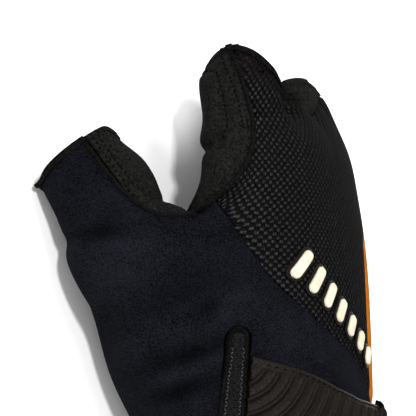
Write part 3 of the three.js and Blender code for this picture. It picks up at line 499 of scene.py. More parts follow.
# %% The outline as the photograph shows it
# In the picture's plane, in mm. First where: across, up and the reach. Then how far: across, up
NUDGES = [
    ((25, 40, 9), (-3.4, 0.6)),
    ((15, 30, 8), (-1.8, 0.0)),
    ((0, 38, 9), (-1.0, 0.3)),
    ((33, 34, 7), (-1.2, 3.2)),
    ((1.2, 17.6, 6), (-2.6, 0.0)),
    ((-1, 48, 4.5), (1.8, -2.2)),
    ((-10.9, 4.5, 4), (-1.8, -2.0)),
    ((-40, -19, 9), (-2.2, 0.0)),
    ((41, 17, 10), (2.0, 0.0)),
    ((-52, 8, 3.5), (1.0, 0.6)),
]
right_np, upward_np = np.array(right), np.array(upward)
sight_x = (laid - np.array(look_at) / MM) @ right_np
sight_y = (laid - np.array(look_at) / MM) @ upward_np
for (x, y, reach), (over, up) in NUDGES:
    near = np.exp(-((sight_x - x) ** 2 + (sight_y - y) ** 2) / (2 * reach * reach))[:, None]
    laid += near * (over * right_np + up * upward_np)
# The thumb's opening reaches further on its back than on its inner side
THUMB_REACH = 2.6
rounded = THUMB_REACH * smoothstep(22, 50, thumb) * np.clip(weave / 2, 0, 1) * (thumb > 0)
laid += rounded[:, None] * to_table(np.array(THUMB_AIM))
laid[:, 2] = np.maximum(laid[:, 2], 0)
print("lowest", laid[:, 2].min().round(2), "highest", laid[:, 2].max().round(2), "mm")

# %% [markdown]
# ## Cutting the panels
# The skin becomes a bmesh whose points hold all the fields. Faces could be sorted by their
# middles alone, but the seams would be stepped. So along each seam the crossing edges are split
# exactly where the field passes the seam's value, and the new points are joined across the faces.
# Each panel gets a clean edge, and rows of edges beside it that can be raised or pulled in.

# %% The skin with its fields
fields = {
    "across": across, "along": along, "back": back, "girth": girth, "weave": weave,
    "thumb": thumb, "crotch": crotch, "back_seam": back_seam, "palm": palm, "side": side,
    "slit": slit, "cap": cap, "x": hand[:, 0], "z": hand[:, 2],
}
HEM_WIDTHS = {"thumb": 1.5, "index": 1.0, "middle": 0.8, "ring": 1.6, "little": 1.6}
skin_mesh.vertices.foreach_set("co", laid.astype(np.float32).ravel())
skin = bmesh.new()
skin.from_mesh(skin_mesh)
skin.verts.ensure_lookup_table()
limb_of_vert = {}
for face in skin.faces:
    if face.material_index:
        for vert in face.verts:
            limb_of_vert[vert.index] = LIMBS[face.material_index]
past_hem = np.full(len(hem), FAR_FROM_HEM / 2)
for index, limb in limb_of_vert.items():
    past_hem[index] = hem[index] - HEM_WIDTHS[limb]
fields["hem"] = past_hem
layers = {name: skin.verts.layers.float.new(name) for name in fields}
for name, numbers in fields.items():
    layer = layers[name]
    for vert, number in zip(skin.verts, numbers.tolist()):
        vert[layer] = number
print("fields", ", ".join(fields))


# %% Cut along the seams
def cut_along(name, level, only, snap=0.04):
    layer = layers[name]
    joints = []
    for vert in skin.verts:
        if abs(vert[layer] - level) < snap:
            vert[layer] = level
            joints.append(vert)
    crossing = []
    for edge in skin.edges:
        a, b = edge.verts
        if (a[layer] - level) * (b[layer] - level) < 0 and (only is None or only(a)):
            crossing.append(edge)
    for edge in crossing:
        a, b = edge.verts
        high, low = a[layer] - level, b[layer] - level
        _, joint = bmesh.utils.edge_split(edge, a, high / (high - low))
        joint[layer] = level
        joints.append(joint)
    bmesh.ops.connect_verts(skin, verts=joints)
    return len(crossing)


def cloth_side(vert):
    return vert[layers["palm"]] < 1 and vert[layers["crotch"]] < 4


def off_palm(vert):
    return vert[layers["palm"]] < 0.5


def near_cap(vert):
    return abs(vert[layers["cap"]]) < 4


def on_back(vert):
    return vert[layers["back"]] > SLIT_BACK


half_seam = SEAM_WIDTH / 2
cuts = [("palm", 0, None)]
for level in (half_seam + 0.9, half_seam, 0, -half_seam, -half_seam - 0.8):
    cuts.append(("crotch", level, off_palm))
for level in (0.5, 0, -0.5):
    cuts.append(("back_seam", level, cloth_side))
cuts += [("side", 0, off_palm), ("hem", 0, None), ("hem", 0.7, None), ("along", CUFF_HEM, None)]
cuts += [("cap", 0, near_cap), ("slit", 0, on_back)]
counts = [cut_along(*cut) for cut in cuts]
print("edges cut", counts, "now", len(skin.faces), "faces")

# %% [markdown]
# ## Folds, pads and stitch lines
# A filled glove is never smooth: the brushed panel folds at the thumb's base and round the slit,
# the suede is padded beside the fingers, and each stitched line pulls the cloth in. A cloth
# simulation would make folds, but not these ones, so they are heights along the skin's normals,
# worked out from the same fields.

# %% Heights of the folds
# across, along: middle of a fold. turn: degrees from across. long, wide: mm. rise: mm, out or in
FOLDS = [
    (-0.36, 0.42, 28, 34, 6, 1.3),
    (-0.3, 0.5, 24, 30, 5, -1.2),
    (-0.58, 0.64, 70, 20, 6, -1.1),
    (-0.15, 0.93, 28, 16, 4, -1.4),
    (-0.2, 1.0, 60, 14, 6, 0.8),
    (0.05, 0.42, -24, 26, 6, 0.9),
    (-0.62, 0.575, 82, 24, 12, 2.6),
    (-0.6, 0.662, 8, 24, 2.4, -1.5),
    (-0.5, 0.625, 12, 26, 3.5, 0.9),
    (-0.26, 0.345, 21, 24, 2.6, -2.2),
    (-0.29, 0.305, 22, 24, 3.0, 1.5),
    (-0.3, 0.25, 20, 24, 2.6, -1.6),
    (-0.2, 0.48, 38, 15, 2.0, -1.9),
    (-0.15, 0.505, 10, 12, 2.2, 1.2),
    (-0.55, 0.43, 75, 16, 3.0, -0.5),
    (-0.4, 0.58, 30, 22, 5.0, 0.4),
]
GROOVES = {
    "thumb_stitch_outer": [
        (-0.61, 0.915), (-0.597, 0.899), (-0.572, 0.871), (-0.541, 0.836), (-0.506, 0.802),
        (-0.478, 0.778), (-0.455, 0.765)],
    "thumb_stitch_inner": [
        (-0.59, 0.925), (-0.577, 0.911), (-0.553, 0.883), (-0.521, 0.848), (-0.486, 0.814),
        (-0.462, 0.793)],
    "index_stitch_outer": [
        (-0.19, 1.18), (-0.177, 1.163), (-0.149, 1.124), (-0.121, 1.091), (-0.099, 1.053),
        (-0.085, 1.016), (-0.081, 0.978)],
    "index_stitch_inner": [
        (-0.25, 1.118), (-0.233, 1.124), (-0.19, 1.116), (-0.169, 1.093), (-0.147, 1.049),
        (-0.136, 1.003), (-0.135, 0.965), (-0.159, 0.932)],
    "index_crease": [(-0.159, 0.932), (-0.196, 0.912), (-0.23, 0.895), (-0.27, 0.89)],
    "thumb_lip": [(-0.47, 0.79), (-0.415, 0.784), (-0.381, 0.779), (-0.33, 0.79)],
}
# depth, width in mm
GROOVE_SHAPES = {
    "thumb_stitch_outer": (0.28, 0.6), "thumb_stitch_inner": (0.28, 0.6),
    "index_stitch_outer": (0.25, 0.6), "index_stitch_inner": (0.4, 0.7),
    "index_crease": (1.3, 1.2), "thumb_lip": (0.9, 1.0),
}


def layer_values(name):
    layer = layers[name]
    return np.array([vert[layer] for vert in skin.verts])


skin.verts.index_update()
skin.normal_update()
across, along, back = layer_values("across"), layer_values("along"), layer_values("back")
crotch, palm, back_seam = layer_values("crotch"), layer_values("palm"), layer_values("back_seam")
side, hem, thumb, cap = (layer_values(name) for name in ("side", "hem", "thumb", "cap"))
height = np.zeros(len(skin.verts))
for fold_across, fold_along, turn, long, wide, rise in FOLDS:
    x, y = across - fold_across * PALM_WIDTH, along - fold_along * PALM_LENGTH
    turn = math.radians(turn)
    lengthwise = x * math.cos(turn) + y * math.sin(turn)
    over = y * math.cos(turn) - x * math.sin(turn)
    height += rise * np.exp(-(lengthwise / (long / 2)) ** 2 - (over / wide) ** 2)
height *= smoothstep(-0.3, -0.1, back)
# The fold heights are kept for the navy's material, which paints shade into the folds and light
# onto their ridges with them
fold_shade_layer = skin.verts.layers.float.new("fold_shade")
for vert, amount in zip(skin.verts, np.clip(height, -2, 2).tolist()):
    vert[fold_shade_layer] = amount


def bump(distance, width):
    return np.exp(-(distance / width) ** 2)


suede_side = (palm > 0) | (crotch > half_seam)
front = smoothstep(-0.75, -0.5, back)
for name, (depth, width) in GROOVE_SHAPES.items():
    height -= depth * bump(line_distance(GROOVES[name]), width) * suede_side * front
print("folds between", height.min().round(2), "and", height.max().round(2), "mm")

# %% Padding and the pull of the seams
INDEX_PAD, THUMB_PAD, SUEDE_RISE, ROLL_RISE = 1.2, 1.4, 0.35, 0.85
HEM_RISE, CUFF_RISE, CAP_RISE = 0.45, 0.4, 0.9
# The suede at the thumb's end turns in by the first number of mm, and back by the second
THUMB_END_IN, THUMB_END_BACK = 3.0, 2.5
# Where cloth is folded flat on the table, its upper face stays a wall's thickness above it
FOLDED_CLEAR = 1.7
index_pad = np.clip(line_distance(GROOVES["index_stitch_inner"]), -9, 9)
index_pad = smoothstep(0, 3.0, -index_pad) * smoothstep(0.9, 0.95, along / PALM_LENGTH)
index_pad *= (thumb < 1) & (crotch > 0) & (along > 0.9 * PALM_LENGTH)
height += INDEX_PAD * index_pad * front * smoothstep(1.125, 1.1, along / PALM_LENGTH)
thumb_pad = smoothstep(0.4, 2.4, -line_distance(GROOVES["thumb_stitch_inner"]))
thumb_pad *= smoothstep(0.915, 0.895, along / PALM_LENGTH) * (thumb > 1) * suede_side
height += THUMB_PAD * thumb_pad * smoothstep(0.78, 0.8, along / PALM_LENGTH)
height += SUEDE_RISE * smoothstep(0.5, 4, crotch) * suede_side * (palm < 3)
thumb_end = smoothstep(36, 50, thumb) * smoothstep(6, 13, crotch) * suede_side
height -= THUMB_END_IN * thumb_end
on_roll = (np.abs(crotch) <= half_seam + 1e-6) & (palm < -2)
roll_shape = np.sqrt(np.clip(1 - (crotch / (half_seam * 1.02)) ** 2, 0, 1))
height += np.where(on_roll, ROLL_RISE * roll_shape - 0.25, 0)
height -= np.where(~on_roll & (palm < 2), 0.5 * bump(np.abs(crotch) - half_seam, 0.7), 0)
height -= 0.45 * bump(back_seam, 0.55) * (palm < 0) * (crotch < 0)
height -= 0.35 * bump(side, 0.6) * (palm < 0)
height -= 0.35 * bump(palm, 0.7)
height += np.where(hem < 0, HEM_RISE, -0.25 * bump(hem, 0.6))
height += np.where(along < CUFF_HEM, CUFF_RISE, 0)
height -= 0.5 * bump(cap, 0.5)
height += CAP_RISE * smoothstep(0.8, 4, cap) * smoothstep(0, 3, hem)
thumb_way = Vector(to_table(THUMB_AIM))
for vert, amount, end in zip(skin.verts, height.tolist(), thumb_end.tolist()):
    vert.co += vert.normal * amount - thumb_way * (THUMB_END_BACK * end)
    vert.co.z = max(vert.co.z, 0.0)
skin.normal_update()
for _ in range(4):
    for vert in skin.verts:
        if vert.co.z < FOLDED_CLEAR and vert.normal.z > 0.02:
            vert.co.z = FOLDED_CLEAR
    skin.normal_update()
print("heights applied to", len(height), "points")

# %% [markdown]
# ## Places on the skin
# Tapes, tab, bars and stitches lie on the finished skin. They could be shrunk onto it, but then
# they would slide and stretch. A chart is the skin flattened in two of its own numbers, so a
# point given as two numbers finds its place and its normal by one ray.

# %% Charts
fine = skin.copy()
bmesh.ops.triangulate(fine, faces=fine.faces)
fine.verts.ensure_lookup_table()
surface = [vert.co.copy() for vert in fine.verts]
normals = [vert.normal.copy() for vert in skin.verts]
triangles = [[vert.index for vert in face.verts] for face in fine.faces]
fine.free()
x, z, girth = layer_values("x"), layer_values("z"), layer_values("girth")
depth = z * math.cos(SIGHT) - x * math.sin(SIGHT)


def chart(u, v, w, keep=lambda triangle: True):
    flat = [Vector(row) for row in np.stack([u, v, w], axis=1).tolist()]
    kept = [triangle for triangle in triangles if keep(triangle)]
    tree = BVHTree.FromPolygons(flat, kept)

    def place(a, b):
        spot, _, index, _ = tree.ray_cast(Vector((a, b, 500)), Vector((0, 0, -1)))
        if spot is None:
            spot, _, index, _ = tree.find_nearest(Vector((a, b, 0)))
        corners = kept[index]
        here = [flat[i] for i in corners]

        def carried_over(rows):
            return barycentric_transform(spot, *here, *rows)

        there = carried_over([surface[i] for i in corners])
        tip = carried_over([surface[i] + normals[i] for i in corners])
        column = carried_over([Vector((girth[i], 0, 0)) for i in corners]).x
        return there, (tip - there).normalized(), column

    return place


# Triangles that span the palm's join, or stand on a finger or the thumb, would fold the chart
def on_hand(triangle):
    columns, first = girth[triangle], triangle[0]
    flat_enough = columns.max() - columns.min() < 0.2
    return flat_enough and along[first] < PALM_LENGTH and thumb[first] < 3


on_sight = chart(across, along, depth)
on_stations = chart(girth * STATION, along, along * 0, on_hand)
print("one point of the back:", [round(c, 1) for c in on_stations(4 * STATION, 50)[0]])

# %% [markdown]
# ## Panels out of the skin
# Each face belongs to one panel, told by the fields at its middle. The panels are sewn edge to
# edge, so they share their borders exactly, and each gets its cloth's thickness inwards, with a
# plain lining inside. The slit is left open. Every panel keeps a UV map that runs round the hand
# and along it, in centimetres, because a knit follows its own rows and not the room.

# %% Sort the faces
corner_rows = [[vert.index for vert in face.verts] for face in skin.faces]


def face_mean(numbers):
    return np.array([numbers[row].mean() for row in corner_rows])


middle = {name: face_mean(numbers) for name, numbers in (
    ("crotch", crotch), ("palm", palm), ("back_seam", back_seam), ("side", side), ("hem", hem),
    ("along", along), ("slit", layer_values("slit")), ("cap", cap), ("back", back))}
limbs = np.array([face.material_index for face in skin.faces])
is_suede = (middle["palm"] > 0) | (middle["crotch"] > half_seam)
kinds = np.where(middle["back_seam"] > 0, "mesh", "navy").astype(object)
kinds[middle["side"] > 0] = "side"
kinds[np.abs(middle["crotch"]) <= half_seam] = "roll"
kinds[is_suede] = "suede"
kinds[(middle["hem"] < 0) & ~is_suede] = "hem"
kinds[(middle["cap"] > 0) & (limbs != LIMBS.index("index"))] = "suede"
kinds[middle["along"] < CUFF_HEM] = "cuff"
kinds[(middle["slit"] < 0) & (middle["back"] > SLIT_BACK)] = "slit"
print({kind: int((kinds == kind).sum()) for kind in sorted(set(kinds))})


# %% Make one piece from each kind
BOUND_WALL = 2.0


def inward_wall(piece, thickness):
    wall = piece.modifiers.new("wall", "SOLIDIFY")
    wall.thickness = thickness * MM
    wall.offset = -1
    return wall


def panel(name, kind, thickness=WALL):
    bm = skin.copy()
    bm.faces.ensure_lookup_table()
    others = [face for face, own in zip(bm.faces, kinds) if own != kind]
    bmesh.ops.delete(bm, geom=others, context="FACES")
    weave_layer, along_layer = bm.verts.layers.float["weave"], bm.verts.layers.float["along"]
    uv = bm.loops.layers.uv.new("weave")
    for face in bm.faces:
        face.material_index = 0
        for loop in face.loops:
            loop[uv].uv = (loop.vert[weave_layer] * STATION / 10, loop.vert[along_layer] / 10)
    for spent in fields:
        if spent != "hem":
            bm.verts.layers.float.remove(bm.verts.layers.float[spent])
    bmesh.ops.scale(bm, vec=(MM, MM, MM), verts=bm.verts)
    piece = mesh_piece(name, bm)
    inward_wall(piece, thickness).material_offset = 1
    return piece


def finished(piece, slot, *nodes):
    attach(piece, "root")
    if nodes:
        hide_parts(*nodes)
    return piece


knit_panel = finished(panel("knit_back", "mesh"), "mesh_cloth", "back_mesh")
navy_panel = finished(panel("brushed_thumb_and_wrist", "navy"), "navy_cloth", "thumb_wrist_panel")
side_strip = finished(panel("stretch_side", "side"), "orange_cloth", "side_panel")
suede_panel = finished(panel("suede_palm", "suede"), "suede", "palm_panel", "thumb_inner_panel",
                       "index_underside", "middle_underside", "ring_underside", "little_underside")
finger_hems = finished(panel("finger_hems", "hem", BOUND_WALL), "trim_cloth", "thumb_hem",
                       "index_hem", "middle_hem", "ring_hem", "little_hem")
cuff_edge = finished(panel("cuff_edge", "cuff", BOUND_WALL), "trim_cloth", "cuff_hem")
rolled_seam = finished(panel("rolled_seam", "roll"), "trim_cloth", "seam_roll")
print("panels", [len(p.data.polygons) for p in (knit_panel, navy_panel, side_strip, suede_panel)])

# %% [markdown]
# ## The slit's tape and elastic
# The wrist slit is bound with a narrow frayed tape that goes up one side, round the top and down
# the other. A ribbed elastic closes the slit behind it. A bevelled curve would make a round tape,
# so both are grids laid on the skin instead: one function says where each of their points lies,
# and one says how high it stands there, ribs and frayed threads included.

# %% Lay a grid on the skin
def draped(name, columns, lines, where, top, thickness, material_slot, *nodes):
    bm = bmesh.new()
    bmesh.ops.create_grid(bm, x_segments=columns, y_segments=lines, size=1)
    uv = bm.loops.layers.uv.new("weave")
    shares = {vert: (vert.co.x / 2 + 0.5, vert.co.y / 2 + 0.5) for vert in bm.verts}
    outward = {}
    for vert, (s, t) in shares.items():
        spot, normal = where(s, t)
        vert.co = (spot + normal * top(s, t)) * MM
        outward[vert] = normal
    for face in bm.faces:
        for loop in face.loops:
            loop[uv].uv = shares[loop.vert]
    bm.normal_update()
    if sum(vert.normal.dot(normal) for vert, normal in outward.items()) < 0:
        bmesh.ops.reverse_faces(bm, faces=bm.faces)
    piece = mesh_piece(name, bm)
    inward_wall(piece, thickness)
    return finished(piece, material_slot, *nodes)


print("grids take s across and t along, from 0 to 1")

# %% Tape and elastic
# The tape's width and height, its frayed threads, and how much it draws in towards the top
TAPE_WIDTH, TAPE_HIGH, FRAY_HIGH, FRAYS, TAPE_DRAW = 1.5, 0.8, 0.15, 84, 0.28
# The elastic's width, its narrowing, its crown, and its ribs
ELASTIC_WIDTH, ELASTIC_DRAW, CROWN, RIBS, RIB_HIGH = 5.6, 1.8, 0.3, 64, 0.14
slit_base = CUFF_HEM + 0.3


def tape_place(s, t):
    reach = SLIT_WIDTH / 2 - TAPE_WIDTH * t
    leg = slit_round - slit_base
    arch = math.pi * (SLIT_WIDTH / 2)
    step = s * (2 * leg + arch)
    if step < leg:
        a, y = -reach, slit_base + step
    elif step > leg + arch:
        a, y = reach, slit_base + 2 * leg + arch - step
    else:
        turn = math.pi * (step - leg) / arch
        a, y = -math.cos(turn) * reach, slit_round + math.sin(turn) * reach
    narrow = 1 - TAPE_DRAW * float(smoothstep(0.5, 1, y / slit_round))
    return on_sight(slit_centre(y) + a * narrow, y)[:2]


def tape_top(s, t):
    fray = FRAY_HIGH * math.cos(2 * math.pi * (FRAYS * s + t))
    return (TAPE_HIGH + fray) * math.sqrt(max(0, 1 - (2 * t - 1) ** 2)) + 0.1


def elastic_place(s, t):
    y = mix(slit_base, slit_round + 1.8, t)
    width = ELASTIC_WIDTH - ELASTIC_DRAW * t * t
    return on_sight(slit_centre(y) + (s - 0.5) * width, y)[:2]


def elastic_top(s, t):
    return 0.25 + CROWN * math.sin(math.pi * s) + RIB_HIGH * math.cos(2 * math.pi * RIBS * t)


slit_tape = draped("slit_tape", 600, 10, tape_place, tape_top, WALL, "trim_cloth", "slit_binding")
elastic = draped("slit_elastic", 12, 512, elastic_place, elastic_top, 1.2, "trim_cloth",
                 "slit_gusset")
print("tape", len(slit_tape.data.polygons), "elastic", len(elastic.data.polygons))

# %% [markdown]
# ## The rubber wrist tab
# A moulded rubber tab lies over the back of the cuff. Round ridges spread over it from the slit's
# side, with a plain sewn border along its upper edge. The ridges could be a bump in the material,
# but they catch the light and show on the edge, so they are in the mesh.

# %% Wrist tab
# station, lower edge, upper edge
TAB_OUTLINE = [
    (1.6, 0.075, 0.352), (2.6, 0.07, 0.315), (3.6, 0.07, 0.272), (4.7, 0.07, 0.243),
    (6.3, 0.07, 0.228), (8.0, 0.07, 0.22), (9.6, 0.075, 0.21),
]
TAB_THICK, RIPPLE_PITCH, RIPPLE_HIGH = 2.0, 4.2, 1.0
# Its rough length and height, for borders and stitches in mm
TAB_LONG, TAB_TALL = 80, 20
ripple_y = 0.345 * PALM_LENGTH
ripple_centre = on_sight(slit_centre(ripple_y), ripple_y)[0]
edge_of_row = {}


def tab_edge(y):
    key = round(y, 2)
    if key not in edge_of_row:
        edge_of_row[key] = on_sight(slit_centre(y) + SLIT_WIDTH / 2 + 0.1, y)[2]
    return edge_of_row[key]


def tab_place(s, t):
    station = mix(TAB_OUTLINE[0][0], TAB_OUTLINE[-1][0], s)
    stations, lower, upper = np.array(TAB_OUTLINE).T
    low, high = (np.interp(station, stations, edge) for edge in (lower, upper))
    y = mix(low, high, t) * PALM_LENGTH
    spot, normal, _ = on_stations(mix(tab_edge(y), TAB_OUTLINE[-1][0], s) * STATION, y)
    return spot, normal


def tab_top(s, t):
    spot, _ = tab_place(s, t)
    away = (spot - ripple_centre).length
    wave = (0.5 + 0.5 * math.cos(2 * math.pi * away / RIPPLE_PITCH)) ** 5
    to_top, to_end = (1 - t) * TAB_TALL, (1 - s) * TAB_LONG
    border = min(to_top, t * TAB_TALL, s * TAB_LONG + 1, to_end)
    inside = float(smoothstep(1.8, 2.6, min(to_top, to_end)))
    rounding = math.sqrt(max(0, 1 - max(0, 1 - border / 1.0) ** 2))
    return 0.5 + TAB_THICK * (0.35 + 0.65 * rounding) + (RIPPLE_HIGH * wave - 0.2) * inside


wrist_tab = draped("wrist_tab_rubber", 330, 60, tab_place, tab_top, 1.9, "dark_rubber", "wrist_tab")
print("tab", len(wrist_tab.data.polygons), "faces")

# %% [markdown]
# ## The bars on the knit
# Plain raised rubber bars stand along the back seam. Each is a pale cushion on a slightly larger
# dark base, whose rim is painted shade round the raised bar. A bevelled box would stand off the
# curved cloth, so each bar is a grid with round ends laid on the skin, and gets smaller towards the
# little finger.

# %% Bars
BARS, BAR_WIDTH, BAR_LEAN = 7, 3.8, math.radians(52)
SHADE_RIM_GROWS, BAR_SHRINKS = 0.9, 0.1


def bar_place(n):
    t = n / (BARS - 1)
    station, y0 = mix(2.75, 6.0, t), mix(0.6, 0.365, t) * PALM_LENGTH
    long, lean = mix(10.5, 6.5, t) / 2, BAR_LEAN

    def where(grow):
        def place(s, u):
            end, wide = (long + grow), (BAR_WIDTH / 2 + grow)
            a, b = 2 * s - 1, 2 * u - 1
            run = a * end
            past_straight = max(0, abs(run) - (end - wide))
            half = math.sqrt(max(0.03, wide * wide - past_straight * past_straight))
            over = run * math.cos(lean) + b * half * math.sin(lean)
            up = run * math.sin(lean) - b * half * math.cos(lean)
            spot, normal, _ = on_stations(station * STATION + over, y0 + up)
            return spot, normal
        return place
    return where


def cushion(high):
    def top(s, t):
        a, b = abs(2 * s - 1), abs(2 * t - 1)
        return 0.35 + high * (1 - a ** 12) ** 0.5 * (1 - b ** 6) ** 0.5
    return top


bars, shade_bases = [], []
for n in range(BARS):
    where = bar_place(n)
    bars.append(draped(f"bar_{n + 1}", 26, 14, where(-BAR_SHRINKS), cushion(1.15), 0.5,
                       "cream_rubber", f"back_bar_{n + 1}"))
    # The dark base, a little larger than its bar, is painted shade round the raised bar
    shade_bases.append(draped(f"bar_shade_base_{n + 1}", 26, 14, where(SHADE_RIM_GROWS), cushion(0.25), 0.45,
                        "trim_cloth"))
print("bars", len(bars), "shade_bases", len(shade_bases))

# %% [markdown]
# ## The middle finger's pull tab
# A short suede tab stands up from the palm side of the middle finger's hem, so that the glove can
# be pulled off. It carries on the finger's own tube, so it is a grid bent round the tube's
# middle, narrower towards its end, with a groove near that end where it is sewn.

# %% Pull tab
PULL_LENGTH, PULL_TURN, PULL_SPREAD = 9, 0.25 - math.pi / 2, math.radians(62)
centre, aim, tab_side, tab_top_way, half_width, half_depth = hem_frames["middle"]


def pull_place(s, t):
    narrow = np.interp(t, [0, 0.4, 0.75, 1], [1, 0.97, 0.86, 0.6])
    turn = PULL_TURN + PULL_SPREAD * narrow * (1 - 2 * s)
    spot = centre + tab_side * (math.cos(turn) * half_width / cage_pull(8))
    spot = spot + tab_top_way * (math.sin(turn) * half_depth / cage_pull(8))
    spot = spot + aim * (0.6 + t * PULL_LENGTH)
    normal = tab_side * math.cos(turn) + tab_top_way * math.sin(turn)
    spot = Vector(to_table(spot)) - Vector((0, 0, table_height)) + Vector(TABLE_SHIFT)
    return spot, Vector(to_table(normal))


def pull_top(s, t):
    return -0.35 * math.exp(-((t - 0.82) / 0.05) ** 2)


pull_tab = draped("middle_pull_flap", 60, 40, pull_place, pull_top, 1.5, "suede",
                  "middle_pull_tab")
print("pull tab", len(pull_tab.data.polygons), "faces")

# %% [markdown]
# ## Stitches
# Each stitch is a short thread, thicker in its middle, sunk a little into the cloth. A dashed
# line in a material would stay flat, so each is a small stretched ball of a few faces. The rows
# follow the same lines that the grooves were pressed along.

# %% Rows of stitches
def stitch(bm, spot, normal, way, length, radius):
    way = (way - normal * way.dot(normal)).normalized()
    axes = Matrix((way * length / 2, normal.cross(way) * radius, normal * radius))
    bmesh.ops.create_uvsphere(bm, u_segments=6, v_segments=4, radius=1,
                              matrix=Matrix.Translation(spot) @ axes.transposed().to_4x4())


def stitch_row(bm, points, place, pitch=1.5, length=1.15, radius=0.22, lift=0.1, slant=0.0):
    line = spline(points, 12)
    steps = np.concatenate([[0], np.cumsum(np.linalg.norm(np.diff(line, axis=0), axis=1))])
    for n, at in enumerate(np.arange(pitch / 2, steps[-1], pitch)):
        a, b = ([np.interp(at + off, steps, line[:, i]) for i in (0, 1)] for off in (-0.3, 0.3))
        first_spot, normal = place(*a)[:2]
        second_spot = place(*b)[0]
        way = second_spot - first_spot
        way = Matrix.Rotation(slant * (-1 if n % 2 else 1), 3, normal) @ way
        stitch(bm, (first_spot + second_spot) / 2 + normal * lift, normal, way, length, radius)


def stitched(name, bm):
    bmesh.ops.scale(bm, vec=(MM, MM, MM), verts=bm.verts)
    return finished(mesh_piece(name, bm), "trim_cloth")


def on_tab(s, t):
    share = (s / TAB_LONG, 1 - t / TAB_TALL)
    spot, normal = tab_place(*share)
    return spot + normal * tab_top(*share), normal


def on_elastic(a, b):
    spot, normal, _ = on_sight(a, b)
    return spot + normal * 0.55, normal


bm = bmesh.new()
for name in GROOVES:
    if "stitch" in name:
        stitch_row(bm, in_mm(GROOVES[name]), on_sight)
suede_stitches = stitched("suede_stitches", bm)

bm = bmesh.new()
from_top = 1.3
stitch_row(bm, [(s, from_top) for s in (2, 20, 40, 60, 78)], on_tab, pitch=1.6, radius=0.2)
tab_stitches = stitched("tab_stitches", bm)

bm = bmesh.new()
for sign in (-1, 1):
    points = []
    for y in np.linspace(slit_base + 1, slit_round - 2, 8):
        points.append((slit_centre(y) + sign * (2.3 - 0.8 * (y / slit_round) ** 2), y))
    stitch_row(bm, points, on_elastic, pitch=1.1, length=1.2, radius=0.2, slant=0.7)
elastic_stitches = stitched("elastic_stitches", bm)
rows_of_stitches = (suede_stitches, tab_stitches, elastic_stitches)
print("stitch faces", [len(piece.data.polygons) for piece in rows_of_stitches])

# %% [markdown]
# ## Materials
# Three shared effects do most of the work: a nap for brushed cloth and suede, a staggered lattice
# for the knit, and a fine grain for thread and rubber. A picture of cloth would need its own map
# and would repeat, while these are worked out at every point. Each gives a mask or a height, and
# each material turns these into its own colours and bump.

# %% Node helpers
def join(tree, socket, value):
    if isinstance(value, bpy.types.NodeSocket):
        tree.links.new(value, socket)
    else:
        socket.default_value = value


def maths(tree, operation, *inputs):
    node = tree.nodes.new("ShaderNodeMath")
    node.operation = operation
    for socket, value in zip(node.inputs, inputs):
        join(tree, socket, value)
    return node.outputs[0]


def noise(tree, vector, scale, detail=4, roughness=0.6):
    node = tree.nodes.new("ShaderNodeTexNoise")
    tree.links.new(vector, node.inputs["Vector"])
    for socket, value in (("Scale", scale), ("Detail", detail), ("Roughness", roughness)):
        join(tree, node.inputs[socket], value)
    return node.outputs["Fac"]


def ramp(tree, value, low, high, out_low=0.0, out_high=1.0):
    node = tree.nodes.new("ShaderNodeMapRange")
    for socket, number in zip(node.inputs, (value, low, high, out_low, out_high)):
        join(tree, socket, number)
    return node.outputs[0]


# A number in inputs makes a number's socket with that value, and None makes a vector's
def new_group(name, inputs, outputs):
    tree = bpy.data.node_groups.new(name, "ShaderNodeTree")
    for label, value in inputs.items():
        kind = "NodeSocketVector" if value is None else "NodeSocketFloat"
        socket = tree.interface.new_socket(label, in_out="INPUT", socket_type=kind)
        if value is not None:
            socket.default_value = value
    for label in outputs:
        tree.interface.new_socket(label, in_out="OUTPUT", socket_type="NodeSocketFloat")
    return tree, tree.nodes.new("NodeGroupInput").outputs, tree.nodes.new("NodeGroupOutput").inputs


print("helpers ready")

# %% Nap: fine fuzz over broad brushed patches
nap, given, result = new_group("nap", {"Vector": None, "Scale": 900.0, "Patches": 110.0},
                               ["Fuzz", "Patch", "Height"])
fuzz = noise(nap, given["Vector"], given["Scale"], 7, 0.75)
patch = noise(nap, given["Vector"], given["Patches"], 5, 0.65)
nap.links.new(ramp(nap, fuzz, 0.43, 0.58), result["Fuzz"])
nap.links.new(ramp(nap, patch, 0.34, 0.68), result["Patch"])
fine_height, broad_height = maths(nap, "MULTIPLY", fuzz, 0.6), maths(nap, "MULTIPLY", patch, 0.4)
nap.links.new(maths(nap, "ADD", fine_height, broad_height), result["Height"])
print("nap", len(nap.nodes), "nodes")

# %% Knit: tufts of paired loops in a staggered lattice
knit, given, result = new_group(
    "knit", {"Vector": None, "Across": 27.0, "Along": 27.0, "Wobble": None}, ["Tuft", "Height"])
split = knit.nodes.new("ShaderNodeSeparateXYZ")
knit.links.new(given["Vector"], split.inputs[0])
wobble = maths(knit, "SUBTRACT", noise(knit, given["Wobble"], 500, 2), 0.5)
wobble = maths(knit, "MULTIPLY", wobble, 1.6)
u = maths(knit, "ADD", maths(knit, "MULTIPLY", split.outputs[0], given["Across"]), wobble)
v = maths(knit, "SUBTRACT", maths(knit, "MULTIPLY", split.outputs[1], given["Along"]), wobble)
lattice = maths(knit, "MULTIPLY", maths(knit, "COSINE", u), maths(knit, "COSINE", v))
tuft = ramp(knit, lattice, 0.12, 0.42)
parting = ramp(knit, maths(knit, "ABSOLUTE", maths(knit, "SINE", u)), 0.05, 0.4, 0.45, 1)
knit.links.new(maths(knit, "MULTIPLY", tuft, parting), result["Tuft"])
knit.links.new(lattice, result["Height"])
print("knit", len(knit.nodes), "nodes")

# %% Grain: twisted thread and moulded rubber
grain, given, result = new_group("grain", {"Vector": None, "Scale": 2200.0}, ["Speck", "Height"])
speck = noise(grain, given["Vector"], given["Scale"], 3, 0.55)
grain.links.new(ramp(grain, speck, 0.4, 0.62), result["Speck"])
grain.links.new(speck, result["Height"])
print("grain", len(grain.nodes), "nodes")


